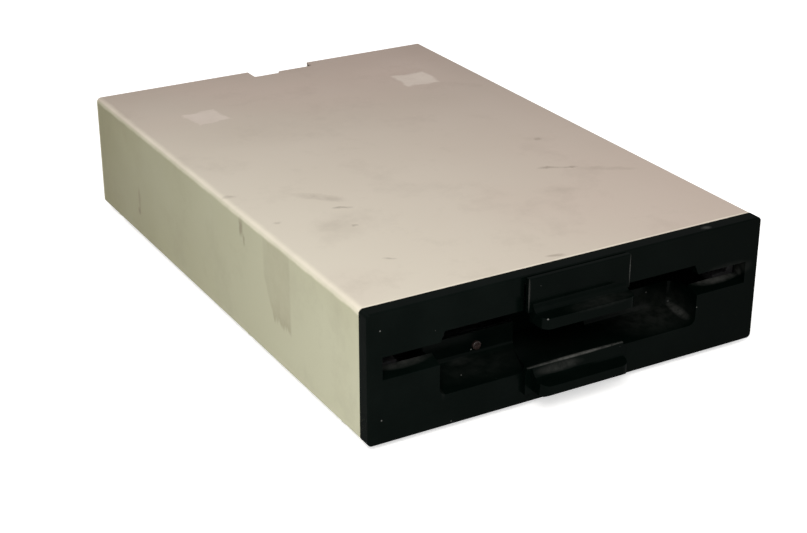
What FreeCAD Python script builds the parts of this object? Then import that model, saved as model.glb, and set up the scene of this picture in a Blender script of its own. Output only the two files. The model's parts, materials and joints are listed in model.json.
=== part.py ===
import FreeCAD
import Part
import Sketcher
import math
import os
import re

# External 5.25 inch floppy disk drive, half height, in a free-standing sheet-steel case.
# Millimetres, +Z up, the front faces -Y. Formulas are written in the drive's own frame: x from the
# middle, y back from the joint between case and bezel, z up from the underside of the case. Every
# node is then moved so that the origin lies under the middle of the whole drive, at the feet.

SIZES = {
    # case
    "case_width": 150.0,
    "case_depth": 221.5,
    "case_height": 45.0,
    "sheet": 1.0,
    "bend_radius": 1.8,
    "flange_width": 9.0,
    "sheet_gap": 0.2,
    "notch_left": 8.5,
    "notch_right": 19.0,
    "notch_depth": 7.0,
    "notch_step": 2.0,
    "notch_step_width": 11.5,
    "notch_radius": 1.5,
    "wall_opening_floor": 30.0,
    "foot_height": 2.0,
    "foot_size": 15.0,
    "foot_half_track": 47.0,
    "front_foot": 30.0,
    "rear_foot_inset": 42.5,
    # screws
    "screw_radius": 1.5,
    "screw_head_radius": 2.7,
    "screw_head": 1.2,
    "case_screw_inset": 3.9,
    "case_screw_length": 3.0,
    "first_case_screw": 14.0,
    "second_case_screw": 84.0,
    "rear_screw_inset": 13.5,
    "mount_screw_inset": 3.15,
    "first_mount_screw": 42.4,
    "mount_spacing": 79.2,
    "mount_screw_length": 9.0,
    # bezel
    "bezel_thickness": 5.0,
    "bezel_top_radius": 1.5,
    "bezel_bottom_radius": 1.6,
    "bezel_edge": 0.5,
    "slot_margin": 5.3,
    "slot_floor": 22.0,
    "slot_top": 29.7,
    "sill_rise": 2.0,
    "hood_half": 48.0,
    "hood_top": 33.2,
    "hood_slope": 1.5,
    "recess_half": 49.7,
    "recess_front_floor": 11.0,
    "recess_back_floor": 13.8,
    "recess_depth": 14.0,
    "recess_corner": 2.6,
    "recess_foot": 2.2,
    "bezel_wall": 1.6,
    "bay_half": 14.0,
    "bay_front_half": 18.6,
    "bay_floor": 13.4,
    "bay_depth": 7.0,
    "lip_half": 16.8,
    "lip_reach": 8.8,
    "lip_front_top": 9.0,
    "lip_shelf": 10.0,
    "lip_bottom": 5.2,
    "lip_corner": 3.2,
    "lip_step": 0.4,
    "lip_hollow": 1.6,
    "lip_hollow_rise": 0.7,
    "lip_chin": 0.6,
    "apron_half": 19.3,
    "apron_thickness": 1.8,
    "apron_bottom": 4.0,
    # lever
    "window_half": 19.6,
    "window_band": 2.4,
    "skin_half": 19.3,
    "skin_thickness": 1.7,
    "skin_gap": 0.3,
    "skin_proud": 2.4,
    "skin_round": 0.4,
    "tab_half": 17.7,
    "tab_reach": 9.0,
    "tab_bottom": 29.5,
    "tab_sweep": 3.0,
    "tab_corner": 3.0,
    "web_half": 15.8,
    "lever_back": 1.5,
    "lever_drop": 5.0,
    "lever_hub_radius": 2.9,
    "hub_flat": 0.1,
    "web_rise": 1.2,
    "web_foot": 3.0,
    "lever_shaft_radius": 2.0,
    "running_gap": 0.05,
    "ear_width": 3.0,
    "ear_drop": 4.5,
    "ear_rise": 3.6,
    "ear_rim": 1.0,
    "cam_reach": 8.0,
    "cam_angle": 40.0,
    "cam_radius": 1.5,
    "cam_arm_thick": 2.2,
    "cam_arm_inset": 5.0,
    "cam_gap": 0.38,
    "lever_swing": 38.0,
    # lamp
    "lamp_x": 28.0,
    "lamp_height": 17.2,
    "lamp_radius": 1.5,
    "lamp_proud": 0.9,
    "lamp_length": 5.0,
    "lamp_rim": 0.4,
    "lamp_rim_thick": 1.0,
    "lamp_block_half": 3.2,
    "lamp_block_depth": 3.5,
    "lamp_block_drop": 3.0,
    # chassis
    "side_gap": 1.0,
    "chassis_length": 198.0,
    "chassis_wall": 3.0,
    "wall_bottom": 5.0,
    "wall_top_gap": 2.0,
    "deck_bottom": 14.0,
    "deck_thickness": 2.5,
    "deck_front": 19.5,
    "deck_back": 190.0,
    "cross_wall": 3.0,
    "cross_wall_height": 7.0,
    "boss_radius": 3.1,
    "lug_width": 10.0,
    "lug_height": 10.0,
    "bezel_screw_grip": 3.5,
    "ledge_thickness": 1.4,
    "ledge_width": 6.0,
    "ledge_front": 26.0,
    "ledge_back": 46.0,
    "front_pad_inset": 28.5,
    "rear_pad_inset": 24.0,
    "pad_size": 8.0,
    # disk space
    "disk_space_floor": 24.2,
    "disk_space_height": 4.2,
    "rail_width": 3.0,
    "guide_gap": 0.3,
    "guide_floor_gap": 0.1,
    "guide_roof_gap": 0.2,
    "guide_front": 1.5,
    "guide_back": 148.0,
    "guide_shelf": 6.0,
    "guide_thickness": 2.5,
    # clamp
    "clamp_back": 36.0,
    "clamp_height": 37.0,
    "clamp_shaft_radius": 1.75,
    "clamp_swing": 10.0,
    "arm_sheet": 1.2,
    "tongue_half": 16.0,
    "tongue_front": 27.4,
    "tongue_back": 17.0,
    "arm_crown": 2.1,
    "arm_crown_half": 8.5,
    "arm_half": 27.7,
    "arm_ear_height": 10.0,
    "arm_ear_drop": 2.0,
    "arm_foot": 22.0,
    "spring_window_half": 5.5,
    "spring_window_reach": 3.4,
    "arm_drop": 6.0,
    "arm_tail_half": 20.0,
    "arm_tail": 61.0,
    "bridge_plate": 1.5,
    "bridge_front": 28.0,
    "bridge_back": 44.0,
    "bridge_ear_gap": 1.5,
    "bridge_ear_height": 8.5,
    "bridge_ear_half": 4.0,
    "bridge_screw_inset": 3.5,
    "cone_radius": 14.0,
    "cone_tip_radius": 12.8,
    "cone_drop": 1.1,
    "clamp_flange_radius": 17.0,
    "clamp_flange": 2.0,
    "clamp_flange_drop": 13.0,
    "stem_radius": 3.0,
    "clip_radius": 5.2,
    "clip_thickness": 0.7,
    "clip_gap": 0.1,
    # spindle motor
    "spindle_back": 80.0,
    "spindle_rim_top": 23.8,
    "spindle_hub_height": 3.4,
    "spindle_cup_depth": 1.8,
    "spindle_cup_radius": 14.6,
    "shaft_radius": 2.5,
    "bearing_radius": 6.5,
    "bearing_width": 4.0,
    "race_width": 1.2,
    "race_groove": 0.3,
    "bearing_post_radius": 10.0,
    "bearing_post_bottom": 11.5,
    "bearing_post_top": 20.0,
    "rotor_bottom": 4.0,
    "rotor_radius": 33.0,
    "rotor_sheet": 1.2,
    "rotor_height": 5.0,
    "rotor_hub_radius": 6.0,
    "magnet_inner": 17.0,
    "magnet_thickness": 3.2,
    "coil_circle": 24.0,
    "coil_radius": 7.0,
    "coil_hole": 3.2,
    "coil_thickness": 1.8,
    "coil_count": 6,
    "board_thickness": 1.6,
    "motor_board_bottom": 11.0,
    "motor_board_half": 44.0,
    "motor_board_reach": 38.0,
    "motor_screw_half": 38.0,
    "motor_screw_reach": 31.0,
    "chip_height": 3.4,
    "post_gap": 0.5,
    "driver_chip_gap": 2.0,
    "driver_chip_width": 7.5,
    "driver_chip_half": 10.0,
    # heads
    "track_zero_radius": 57.15,
    "track_travel": 20.63,
    "rod_half_spacing": 16.0,
    "rod_height": 20.0,
    "rod_radius": 2.5,
    "rod_margin": 8.5,
    "rod_seat": 4.0,
    "rod_seat_wall": 1.5,
    "rod_seat_rise": 1.0,
    "rod_end": 1.0,
    "carriage_half": 21.0,
    "carriage_front": 9.0,
    "carriage_back": 41.0,
    "carriage_thickness": 5.6,
    "tower_inner": 12.5,
    "tower_outer": 16.0,
    "tower_half_depth": 4.6,
    "tower_height": 36.0,
    "arm_pin_back": 36.0,
    "arm_pin_height": 32.8,
    "arm_pin_radius": 1.5,
    "head_arm_half": 8.0,
    "head_arm_thickness": 1.6,
    "head_arm_nose": 3.0,
    "head_arm_barrel": 3.0,
    "head_half_width": 3.0,
    "head_half_depth": 4.0,
    "upper_head_drop": 4.2,
    "upper_head_height": 2.6,
    "lower_head_gap": 0.1,
    "lower_head_height": 3.5,
    # head positioner
    "capstan_radius": 8.42,
    "band_thickness": 0.15,
    "band_gap": 0.05,
    "band_width": 4.0,
    "band_bottom": 18.0,
    "capstan_bottom": 16.8,
    "capstan_height": 6.5,
    "capstan_wall": 1.3,
    "capstan_hollow": 3.0,
    "stepper_inset": 31.0,
    "stepper_back": 153.0,
    "stepper_radius": 21.0,
    "stepper_height": 11.2,
    "stepper_shaft_radius": 2.0,
    "stepper_screw_circle": 23.7,
    "stepper_ear_radius": 4.0,
    "stepper_ear": 1.5,
    "stepper_round": 1.0,
    "stepper_opening_gap": 3.0,
    "band_post_margin": 9.4,
    "band_post": 3.0,
    "band_post_proud": 1.2,
    "shaft_proud": 0.5,
    # sensors
    "sensor_wall": 2.5,
    "sensor_slot": 3.0,
    "sensor_length": 7.5,
    "sensor_height": 9.5,
    "sensor_base": 3.0,
    "flag_thickness": 1.0,
    "flag_x": 29.0,
    "flag_front": 168.0,
    "flag_length": 16.0,
    "flag_rise": 2.5,
    "flag_finger": 5.0,
    "flag_overlap": 5.0,
    "index_radius": 25.4,
    "disk_sensor_half": 3.0,
    "disk_sensor_reach": 4.0,
    "protect_sensor_inset": 48.5,
    # logic board
    "logic_board_bottom": 6.0,
    "board_stepper_gap": 6.0,
    "board_wall_gap": 1.0,
    "logic_board_front": 126.0,
    "board_rear_gap": 21.5,
    "logic_screw_inset": 5.0,
    "logic_screw_edge": 8.0,
    "standoff_radius": 3.2,
    "header_middle": 5.3,
    "header_half": 16.5,
    "header_height": 8.8,
    "header_depth": 9.0,
    "header_wall": 1.3,
    "header_overhang": 1.0,
    "header_floor": 2.0,
    "header_relief": 1.0,
    "pin_inset": 1.5,
    "pin_size": 0.64,
    "pin_spacing": 2.54,
    "pin_columns": 10,
    "capacitor_radius": 3.0,
    "capacitor_height": 5.8,
    "capacitor_shift": 1.0,
    "capacitor_step": 8.0,
    "capacitor_row": 44.0,
    "chip_inset": 3.8,
    "chip_front": 4.0,
    "chip_gap": 5.0,
    "chip_width": 7.0,
    "chip_length": 20.0,
    "large_chip_width": 14.0,
    "large_chip_length": 36.0,
    # springs
    "wire": 0.6,
    "coil_turns": 4,
    "spring_gap": 0.2,
    "clamp_spring_length": 8.0,
    "hub_spring_room": 2.0,
    "hub_spring_gap": 0.1,
    # margins by which a cut runs past what it cuts
    "cut_margin": 1.0,
    "cut_overlap": 0.1,
}

# Places worked out from the sizes above, as formulas in the same words.
PLACES = {
    "front_reach": "max(tab_reach; lip_reach)",
    "joint_y": "(bezel_thickness + front_reach - case_depth) / 2",
    "bezel_front": "0 - bezel_thickness",
    "half_width": "case_width / 2",
    "pan_half": "half_width - bend_radius - sheet_gap",
    "pan_top": "2 * sheet",
    "case_screw_x": "half_width - case_screw_inset",
    "third_case_screw": "case_depth - rear_screw_inset",
    "mount_half_spacing": "chassis_half - mount_screw_inset",
    "rear_foot": "case_depth - rear_foot_inset",
    "slot_half": "half_width - slot_margin",
    "slot_sill": "min(slot_floor + sill_rise; guide_floor)",
    "window_top": "case_height - window_band",
    "lever_height": "case_height - lever_drop",
    "second_mount_screw": "first_mount_screw + mount_spacing",
    "recess_back": "recess_depth - bezel_thickness",
    "recess_wall_back": "recess_back + bezel_wall",
    "bay_back": "recess_wall_back + bay_depth",
    "lip_front": "bezel_front - lip_reach",
    "apron_front": "bezel_front - apron_thickness",
    "skin_front": "bezel_front - skin_proud",
    "skin_back": "skin_front + skin_thickness",
    "skin_top": "case_height - skin_gap",
    "tab_front": "bezel_front - tab_reach",
    "tab_top": "hood_top",
    "ear_inner": "window_half",
    "ear_outer": "ear_inner + ear_width",
    "cam_y": "lever_back + cam_reach * cos(cam_angle)",
    "cam_z": "lever_height - cam_reach * sin(cam_angle)",
    "closed_cam_z": "lever_height - cam_reach * sin(cam_angle - lever_swing)",
    "tongue_rise": "closed_cam_z + cam_radius + cam_gap - clamp_height",
    "chassis_half": "half_width - sheet - side_gap",
    "wall_top": "case_height - sheet - wall_top_gap",
    "wall_inner": "chassis_half - chassis_wall",
    "deck_top": "deck_bottom + deck_thickness",
    "lug_thickness": "chassis_wall",
    "bezel_screw_x": "wall_inner - lug_width / 2",
    "bezel_screw_height": "wall_top - lug_height / 2",
    "disk_space_half": "wall_inner - rail_width",
    "disk_space_top": "disk_space_floor + disk_space_height",
    "guide_floor": "disk_space_floor - guide_floor_gap",
    "guide_top": "disk_space_top + guide_roof_gap",
    "bridge_bottom": "guide_top + ledge_thickness",
    "bridge_top": "bridge_bottom + bridge_plate",
    "bridge_ear_inner": "arm_half + bridge_ear_gap",
    "bridge_ear_outer": "bridge_ear_inner + bridge_plate",
    "clamp_hub_reach": "spindle_back - clamp_back",
    "spindle_bottom": "spindle_rim_top - spindle_hub_height",
    "spindle_cup_floor": "spindle_rim_top - spindle_cup_depth",
    "rotor_floor": "rotor_bottom + rotor_sheet",
    "rotor_inner": "rotor_radius - rotor_sheet",
    "motor_board_top": "motor_board_bottom + board_thickness",
    "head_back": "spindle_back + track_zero_radius",
    "carriage_bottom": "rod_height - carriage_thickness / 2",
    "carriage_top": "rod_height + carriage_thickness / 2",
    "arm_pin_y": "head_back + arm_pin_back",
    "lower_head_top": "disk_space_floor - lower_head_gap",
    "rod_front": "head_back - carriage_front - track_travel - rod_margin",
    "rod_back": "deck_back + rod_end",
    "stepper_x": "chassis_half - stepper_inset",
    "band_x": "0 - stepper_x + capstan_radius + band_gap",
    "band_post_front": "stepper_back - band_post_margin - band_post",
    "band_post_back": "stepper_back + track_travel + band_post_margin",
    "logic_board_top": "logic_board_bottom + board_thickness",
    "logic_board_left": "stepper_x - stepper_radius - board_stepper_gap",
    "logic_board_right": "wall_inner - board_wall_gap",
    "logic_board_back": "case_depth - board_rear_gap",
    "boss_room": "logic_screw_inset + standoff_radius",
    "chip_row": "3 * chip_width + large_chip_width + 3 * chip_gap",
    "chip_room": "logic_board_left + logic_board_right - 2 * boss_room - chip_row",
    "chip_left": "boss_room + min(chip_inset; chip_room / 2)",
    "header_left": "header_middle - header_half",
    "header_right": "header_middle + header_half",
    "header_back": "logic_board_back + header_overhang",
    "header_front": "header_back - header_depth",
}

WORD = re.compile(r"[a-z][a-z_]*")
ALONG_X = FreeCAD.Rotation(FreeCAD.Vector(0, 1, 0), 90)
ALONG_Y = FreeCAD.Rotation(FreeCAD.Vector(1, 0, 0), -90)

doc = FreeCAD.newDocument("FloppyDrive")
sheet = doc.addObject("Spreadsheet::Sheet", "Sizes")
nodes = []


def fill_sheet():
    for row, (alias, size) in enumerate(SIZES.items(), start=1):
        sheet.set("A%d" % row, alias)
        sheet.set("B%d" % row, str(size))
        sheet.setAlias("B%d" % row, alias)
    doc.recompute()


def formula(text):
    """A formula in plain words, as an expression on the cells of the sheet."""
    def cell(match):
        word = match.group(0)
        if word in PLACES:
            return "(" + formula(PLACES[word]) + ")"
        if word in SIZES:
            return "Sizes." + word
        return word
    return WORD.sub(cell, text)


def negative(text):
    return "0 - (" + text + ")"


def bind(thing, target, text):
    thing.setExpression(target, formula(text))


def move(thing, x, y, z):
    bind(thing, "Placement.Base.x", x)
    bind(thing, "Placement.Base.y", y)
    bind(thing, "Placement.Base.z", z)


def node(thing, label, x="0", y="0", z="0"):
    """Name a finished piece and stand it in the drive."""
    thing.Label = label
    move(thing, x, "joint_y + " + y, "foot_height + " + z)
    nodes.append(thing)
    return thing


# Part primitives and booleans

def box(name, x, y, z):
    """A box between two formulas along each axis."""
    solid = doc.addObject("Part::Box", name)
    for side, (low, high) in zip(("Length", "Width", "Height"), (x, y, z)):
        bind(solid, side, "(" + high + ") - (" + low + ")")
    move(solid, x[0], y[0], z[0])
    return solid


def mirrored_boxes(name, x, y, z):
    """The box and its twin on the other side of the middle plane."""
    right = box(name + "Right", x, y, z)
    left = box(name + "Left", (negative(x[1]), negative(x[0])), y, z)
    return [right, left]


def cylinder(name, radius, length, at, turn=None):
    solid = doc.addObject("Part::Cylinder", name)
    bind(solid, "Radius", radius)
    bind(solid, "Height", length)
    if turn:
        solid.Placement.Rotation = turn
    move(solid, *at)
    return solid


def fuse(name, parts):
    solid = doc.addObject("Part::MultiFuse", name)
    solid.Shapes = parts
    return solid


def cut(name, base, tools):
    solid = doc.addObject("Part::Cut", name)
    solid.Base = base
    solid.Tool = tools[0] if len(tools) == 1 else fuse(name + "Tools", tools)
    return solid


def group(name, parts):
    """Separate solids that share one node, such as a set of like screws."""
    solid = doc.addObject("Part::Compound", name)
    solid.Links = parts
    return solid


def ring(name, inner, outer, length, at, turn=None):
    disc = cylinder(name + "Disc", outer, length, at, turn)
    hole = cylinder(name + "Hole", inner, length, at, turn)
    return cut(name, disc, [hole])


def screw(name, length, at, turn=None):
    """A pan-head screw: its head lies below the seat, its shank runs up from it."""
    turn = turn or FreeCAD.Rotation()
    along = turn.multVec(FreeCAD.Vector(0, 0, 1))
    shank = cylinder(name + "Shank", "screw_radius", length, at, turn)
    start = []
    for place, way in zip(at, along):
        start.append("%s - (%d) * screw_head" % (place, round(way)))
    head = cylinder(name + "Head", "screw_head_radius", "screw_head", start, turn)
    return fuse(name, [shank, head])


# PartDesign bodies

def body(name):
    return doc.addObject("PartDesign::Body", name)


def origin_plane(part, role):
    return [plane for plane in part.Origin.OriginFeatures if plane.Role == role][0]


def new_sketch(part, plane, offset):
    sketch = part.newObject("Sketcher::SketchObject", part.Name + "Sketch")
    sketch.AttachmentSupport = [(origin_plane(part, plane), "")]
    sketch.MapMode = "FlatFace"
    bind(sketch, "AttachmentOffset.Base.z", offset)
    return sketch


def pin_point(sketch, geometry, end, x, y):
    for kind, text in (("DistanceX", x), ("DistanceY", y)):
        index = sketch.addConstraint(Sketcher.Constraint(kind, -1, 1, geometry, end, 1.0))
        bind(sketch, "Constraints[%d]" % index, text)


def draw_polygon(sketch, corners):
    count = len(corners)
    first = sketch.GeometryCount
    points = []
    for number in range(count):
        turn = 2 * math.pi * number / count
        points.append(FreeCAD.Vector(math.cos(turn), math.sin(turn), 0))
    for number in range(count):
        sketch.addGeometry(Part.LineSegment(points[number], points[(number + 1) % count]), False)
    for number in range(count):
        after = first + (number + 1) % count
        sketch.addConstraint(Sketcher.Constraint("Coincident", first + number, 2, after, 1))
    for number, (x, y) in enumerate(corners):
        pin_point(sketch, first + number, 1, x, y)


def draw_circle(sketch, x, y, radius):
    circle = Part.Circle(FreeCAD.Vector(0, 0, 0), FreeCAD.Vector(0, 0, 1), 1)
    geometry = sketch.addGeometry(circle, False)
    index = sketch.addConstraint(Sketcher.Constraint("Radius", geometry, 1.0))
    bind(sketch, "Constraints[%d]" % index, radius)
    pin_point(sketch, geometry, 3, x, y)


def extrude(part, kind, plane, span, corners=None, circles=()):
    """Pad or pocket an outline over a span along the plane's axis: X for YZ, Y for XZ, Z for XY."""
    low, high = span
    offset = negative(high) if plane == "XZ_Plane" else low
    sketch = new_sketch(part, plane, offset)
    if corners:
        draw_polygon(sketch, corners)
    for circle in circles:
        draw_circle(sketch, *circle)
    feature = part.newObject("PartDesign::" + kind, part.Name + kind)
    feature.Profile = sketch
    feature.Reversed = kind == "Pocket"
    bind(feature, "Length", "(" + high + ") - (" + low + ")")
    return feature


def pad(part, plane, span, corners=None, circles=()):
    return extrude(part, "Pad", plane, span, corners, circles)


def pocket(part, plane, span, corners=None, circles=()):
    return extrude(part, "Pocket", plane, span, corners, circles)


def rectangle(x, y):
    return [(x[0], y[0]), (x[1], y[0]), (x[1], y[1]), (x[0], y[1])]


def both_sides(half):
    return (negative(half), half)


def revolve(part, corners, back="0"):
    """Turn an outline of radius and height about a vertical axis."""
    sketch = new_sketch(part, "XZ_Plane", negative(back))
    draw_polygon(sketch, corners)
    feature = part.newObject("PartDesign::Revolution", part.Name + "Turn")
    feature.Profile = sketch
    feature.ReferenceAxis = (sketch, ["V_Axis"])
    feature.Angle = 360
    return feature


def coil(name, radius, length, at, turn=None):
    """A helical spring of round wire along its own axis."""
    spring = body(name)
    sketch = new_sketch(spring, "XZ_Plane", "0")
    draw_circle(sketch, radius, "0", "wire / 2")
    winding = spring.newObject("PartDesign::AdditiveHelix", name + "Winding")
    winding.Profile = sketch
    winding.ReferenceAxis = (sketch, ["V_Axis"])
    winding.Mode = "height-turns-growth"
    bind(winding, "Height", "(" + length + ") - wire")
    bind(winding, "Turns", "coil_turns")
    if turn:
        spring.Placement.Rotation = turn
    move(spring, *at)
    return spring


def size(name):
    return float(sheet.get(name))


def runs_along(edge, axis):
    """Is the edge straight and parallel to one axis?"""
    bounds = edge.BoundBox
    spans = {"X": bounds.XLength, "Y": bounds.YLength, "Z": bounds.ZLength}
    across = [span for name, span in spans.items() if name != axis]
    return spans[axis] > 0.01 and max(across) < 0.001


def near(number, goal):
    return abs(number - goal) < 0.01


def round_edges(part, radius, chosen, kind="Fillet"):
    """Fillet or chamfer the edges of the body that pass a test."""
    doc.recompute()
    base = part.Tip
    names = []
    for number, edge in enumerate(base.Shape.Edges, start=1):
        if chosen(edge):
            names.append("Edge%d" % number)
    if not names:
        raise RuntimeError("no edge to round on " + part.Name)
    feature = part.newObject("PartDesign::" + kind, part.Name + kind)
    feature.Base = (base, names)
    bind(feature, "Radius" if kind == "Fillet" else "Size", radius)
    return feature


# Case

def case_cover():
    part = body("CaseCover")
    outside = rectangle(both_sides("half_width"), ("0", "case_height"))
    pad(part, "XZ_Plane", ("0", "case_depth"), outside)
    round_edges(part, "bend_radius", lambda edge: runs_along(edge, "Y"))
    inner = rectangle(both_sides("half_width - sheet"), ("sheet", "case_height - sheet"))
    pocket(part, "XZ_Plane", ("0", "case_depth"), inner)
    inside = size("case_width") / 2 - size("sheet")
    round_edges(part, "bend_radius - sheet",
                lambda edge: runs_along(edge, "Y") and near(abs(edge.BoundBox.XMin), inside))
    between = rectangle(both_sides("half_width - flange_width"), ("0", "sheet"))
    pocket(part, "XZ_Plane", ("0", "case_depth"), between)
    step = "notch_step_width - notch_left"
    edge_y = "case_depth - notch_depth"
    notch = [("0 - notch_left", "case_depth"), ("0 - notch_left", edge_y), (step, edge_y),
             (step, edge_y + " + notch_step"), ("notch_right", edge_y + " + notch_step"),
             ("notch_right", "case_depth")]
    pocket(part, "XY_Plane", ("case_height - sheet", "case_height"), notch)
    behind = size("case_depth") - size("notch_depth") + size("notch_step")
    round_edges(part, "min(notch_radius; notch_step * 0.45)",
                lambda edge: runs_along(edge, "Z") and edge.BoundBox.ZMin > size("case_height") / 2
                and edge.BoundBox.YMax < behind + 0.01 and abs(edge.BoundBox.XMin) < size("notch_right") + 1
                and edge.BoundBox.YMin > 1)
    holes = flange_holes()
    pocket(part, "XY_Plane", ("0", "sheet"), circles=holes)
    return node(part, "case_cover")


def case_screw_places():
    places = []
    for x in ("case_screw_x", "0 - case_screw_x"):
        for y in ("first_case_screw", "second_case_screw", "third_case_screw"):
            places.append((x, y))
    return places


def mount_screw_places():
    places = []
    for x in ("mount_half_spacing", "0 - mount_half_spacing"):
        for y in ("first_mount_screw", "second_mount_screw"):
            places.append((x, y))
    return places


def flange_holes():
    return [(x, y, "screw_radius + sheet_gap") for x, y in case_screw_places() + mount_screw_places()]


def base_pan():
    part = body("BasePan")
    floor = rectangle(both_sides("pan_half"), ("0", "case_depth"))
    pad(part, "XY_Plane", ("sheet", "pan_top"), floor)
    wall = rectangle(both_sides("pan_half"), ("sheet", "case_height - sheet - sheet_gap"))
    pad(part, "XZ_Plane", ("case_depth - sheet", "case_depth"), wall)
    opening = rectangle(("0 - notch_left", "notch_right"), ("wall_opening_floor", "case_height"))
    pocket(part, "XZ_Plane", ("case_depth - sheet", "case_depth"), opening)
    holes = [(x, y, "screw_radius") for x, y in case_screw_places() + mount_screw_places()]
    pocket(part, "XY_Plane", ("sheet", "pan_top"), circles=holes)
    return node(part, "base_pan")


def rubber_feet():
    feet = []
    for row, y in (("Front", "front_foot"), ("Rear", "rear_foot")):
        along = (y + " - foot_size / 2", y + " + foot_size / 2")
        across = ("foot_half_track - foot_size / 2", "foot_half_track + foot_size / 2")
        feet += mirrored_boxes("Foot" + row, across, along, ("0 - foot_height", "sheet"))
    return node(group("RubberFeet", feet), "rubber_feet")


def screws(name, label, length, places, turn=None):
    made = []
    for number, place in enumerate(places, start=1):
        made.append(screw("%s%d" % (name, number), length, place, turn))
    return node(group(name, made), label)


def case_fasteners():
    seats = [(x, y, "0") for x, y in case_screw_places()]
    screws("CaseScrew", "case_screws", "case_screw_length", seats)
    seats = [(x, y, "0") for x, y in mount_screw_places()]
    screws("MountScrew", "drive_mount_screws", "mount_screw_length", seats)


# Front

def front_bezel():
    part = body("FrontBezel")
    plate = rectangle(both_sides("half_width"), ("0", "case_height"))
    pad(part, "XZ_Plane", ("bezel_front", "0"), plate)
    middle = size("case_height") / 2
    round_edges(part, "bezel_top_radius",
                lambda edge: runs_along(edge, "Y") and edge.BoundBox.ZMin > middle)
    round_edges(part, "bezel_bottom_radius",
                lambda edge: runs_along(edge, "Y") and edge.BoundBox.ZMin < 0.01)
    front = 0 - size("bezel_thickness")
    round_edges(part, "bezel_edge", lambda edge: near(edge.BoundBox.YMax, front))
    slot = [("0 - slot_half", "slot_floor"), ("slot_half", "slot_floor"), ("slot_half", "slot_top"),
            ("hood_half + hood_slope", "slot_top"), ("hood_half", "hood_top"),
            ("0 - hood_half", "hood_top"), ("0 - hood_half - hood_slope", "slot_top"),
            ("0 - slot_half", "slot_top")]
    pocket(part, "XZ_Plane", ("bezel_front - cut_margin", "0"), slot)
    tub = rectangle(both_sides("recess_half + bezel_wall"),
                    ("recess_front_floor - bezel_wall", "slot_floor"))
    pad(part, "XZ_Plane", ("0", "recess_wall_back"), tub)
    bay_box = rectangle(both_sides("bay_half + bezel_wall"), ("bay_floor - bezel_wall", "slot_floor"))
    pad(part, "XZ_Plane", ("recess_wall_back", "bay_back + bezel_wall"), bay_box)
    recess = [("bezel_front - cut_margin", "recess_front_floor"), ("recess_back", "recess_back_floor"),
              ("recess_back", "slot_floor"), ("bezel_front - cut_margin", "slot_floor")]
    pocket(part, "YZ_Plane", both_sides("recess_half"), recess)
    side = size("recess_half")
    round_edges(part, "recess_corner",
                lambda edge: near(abs(edge.CenterOfMass.x), side) and near(edge.BoundBox.XLength, 0)
                and edge.BoundBox.ZMax < size("recess_back_floor") + 0.01
                and edge.BoundBox.ZMin > size("recess_front_floor") - 0.01
                and edge.BoundBox.YLength > size("recess_depth") / 2)
    back = size("recess_depth") - size("bezel_thickness")
    round_edges(part, "recess_foot",
                lambda edge: runs_along(edge, "X") and near(edge.BoundBox.YMin, back)
                and near(edge.BoundBox.ZMax, size("recess_back_floor")))
    sill = [("bezel_front", "slot_floor"), ("0", "slot_floor"), ("0", "slot_sill")]
    pad(part, "YZ_Plane", ("recess_half", "slot_half"), sill)
    pad(part, "YZ_Plane", ("0 - slot_half", "0 - recess_half"), sill)
    floor = [("0 - bay_front_half", "bezel_front"), ("bay_front_half", "bezel_front"),
             ("bay_half", "recess_wall_back"), ("0 - bay_half", "recess_wall_back")]
    pad(part, "XY_Plane", ("recess_front_floor - bezel_wall", "bay_floor"), floor)
    bay = rectangle(both_sides("bay_half"), ("bay_floor", "slot_floor"))
    pocket(part, "XZ_Plane", ("recess_back - recess_foot", "bay_back"), bay)
    apron = [("0 - apron_half", "apron_bottom"), ("apron_half", "apron_bottom"),
             ("apron_half", "recess_front_floor"), ("bay_front_half", "bay_floor"),
             ("0 - bay_front_half", "bay_floor"), ("0 - apron_half", "recess_front_floor")]
    pad(part, "XZ_Plane", ("apron_front", "bezel_front"), apron)
    lip = [("apron_front", "bay_floor - lip_step"),
           ("apron_front - lip_hollow", "lip_shelf + lip_hollow_rise"),
           ("apron_front - 2 * lip_hollow", "lip_shelf"), ("lip_front", "lip_front_top"),
           ("lip_front", "lip_bottom + lip_chin"), ("lip_front + 2 * lip_chin", "lip_bottom"),
           ("apron_front", "lip_bottom")]
    pad(part, "YZ_Plane", both_sides("lip_half"), lip)
    nose = front - size("lip_reach")
    round_edges(part, "lip_corner",
                lambda edge: runs_along(edge, "Z") and near(edge.BoundBox.YMin, nose))
    window = rectangle(both_sides("window_half"), ("hood_top - cut_overlap", "window_top"))
    pocket(part, "XZ_Plane", ("bezel_front - cut_margin", "0"), window)
    ear = rectangle(("0", "lever_back + lever_hub_radius + ear_rim"),
                    ("lever_height - ear_drop", "lever_height + ear_rise"))
    pad(part, "YZ_Plane", ("ear_inner", "ear_outer"), ear)
    pad(part, "YZ_Plane", ("0 - ear_outer", "0 - ear_inner"), ear)
    pocket(part, "YZ_Plane", both_sides("ear_outer"),
           circles=[("lever_back", "lever_height", "lever_shaft_radius")])
    lamp = [("0 - lamp_x", "lamp_height", "lamp_radius")]
    pocket(part, "XZ_Plane", ("recess_back", "recess_wall_back"), circles=lamp)
    seats = [("bezel_screw_x", "bezel_screw_height", "screw_radius"),
             ("0 - bezel_screw_x", "bezel_screw_height", "screw_radius")]
    pocket(part, "XZ_Plane", ("0 - bezel_screw_grip", "0"), circles=seats)
    return node(part, "front_bezel")


def bezel_screws():
    backwards = FreeCAD.Rotation(FreeCAD.Vector(1, 0, 0), 90)
    seats = [("bezel_screw_x", "lug_thickness", "bezel_screw_height"),
             ("0 - bezel_screw_x", "lug_thickness", "bezel_screw_height")]
    screws("BezelScrew", "bezel_screws", "lug_thickness + bezel_screw_grip", seats, backwards)


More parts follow.
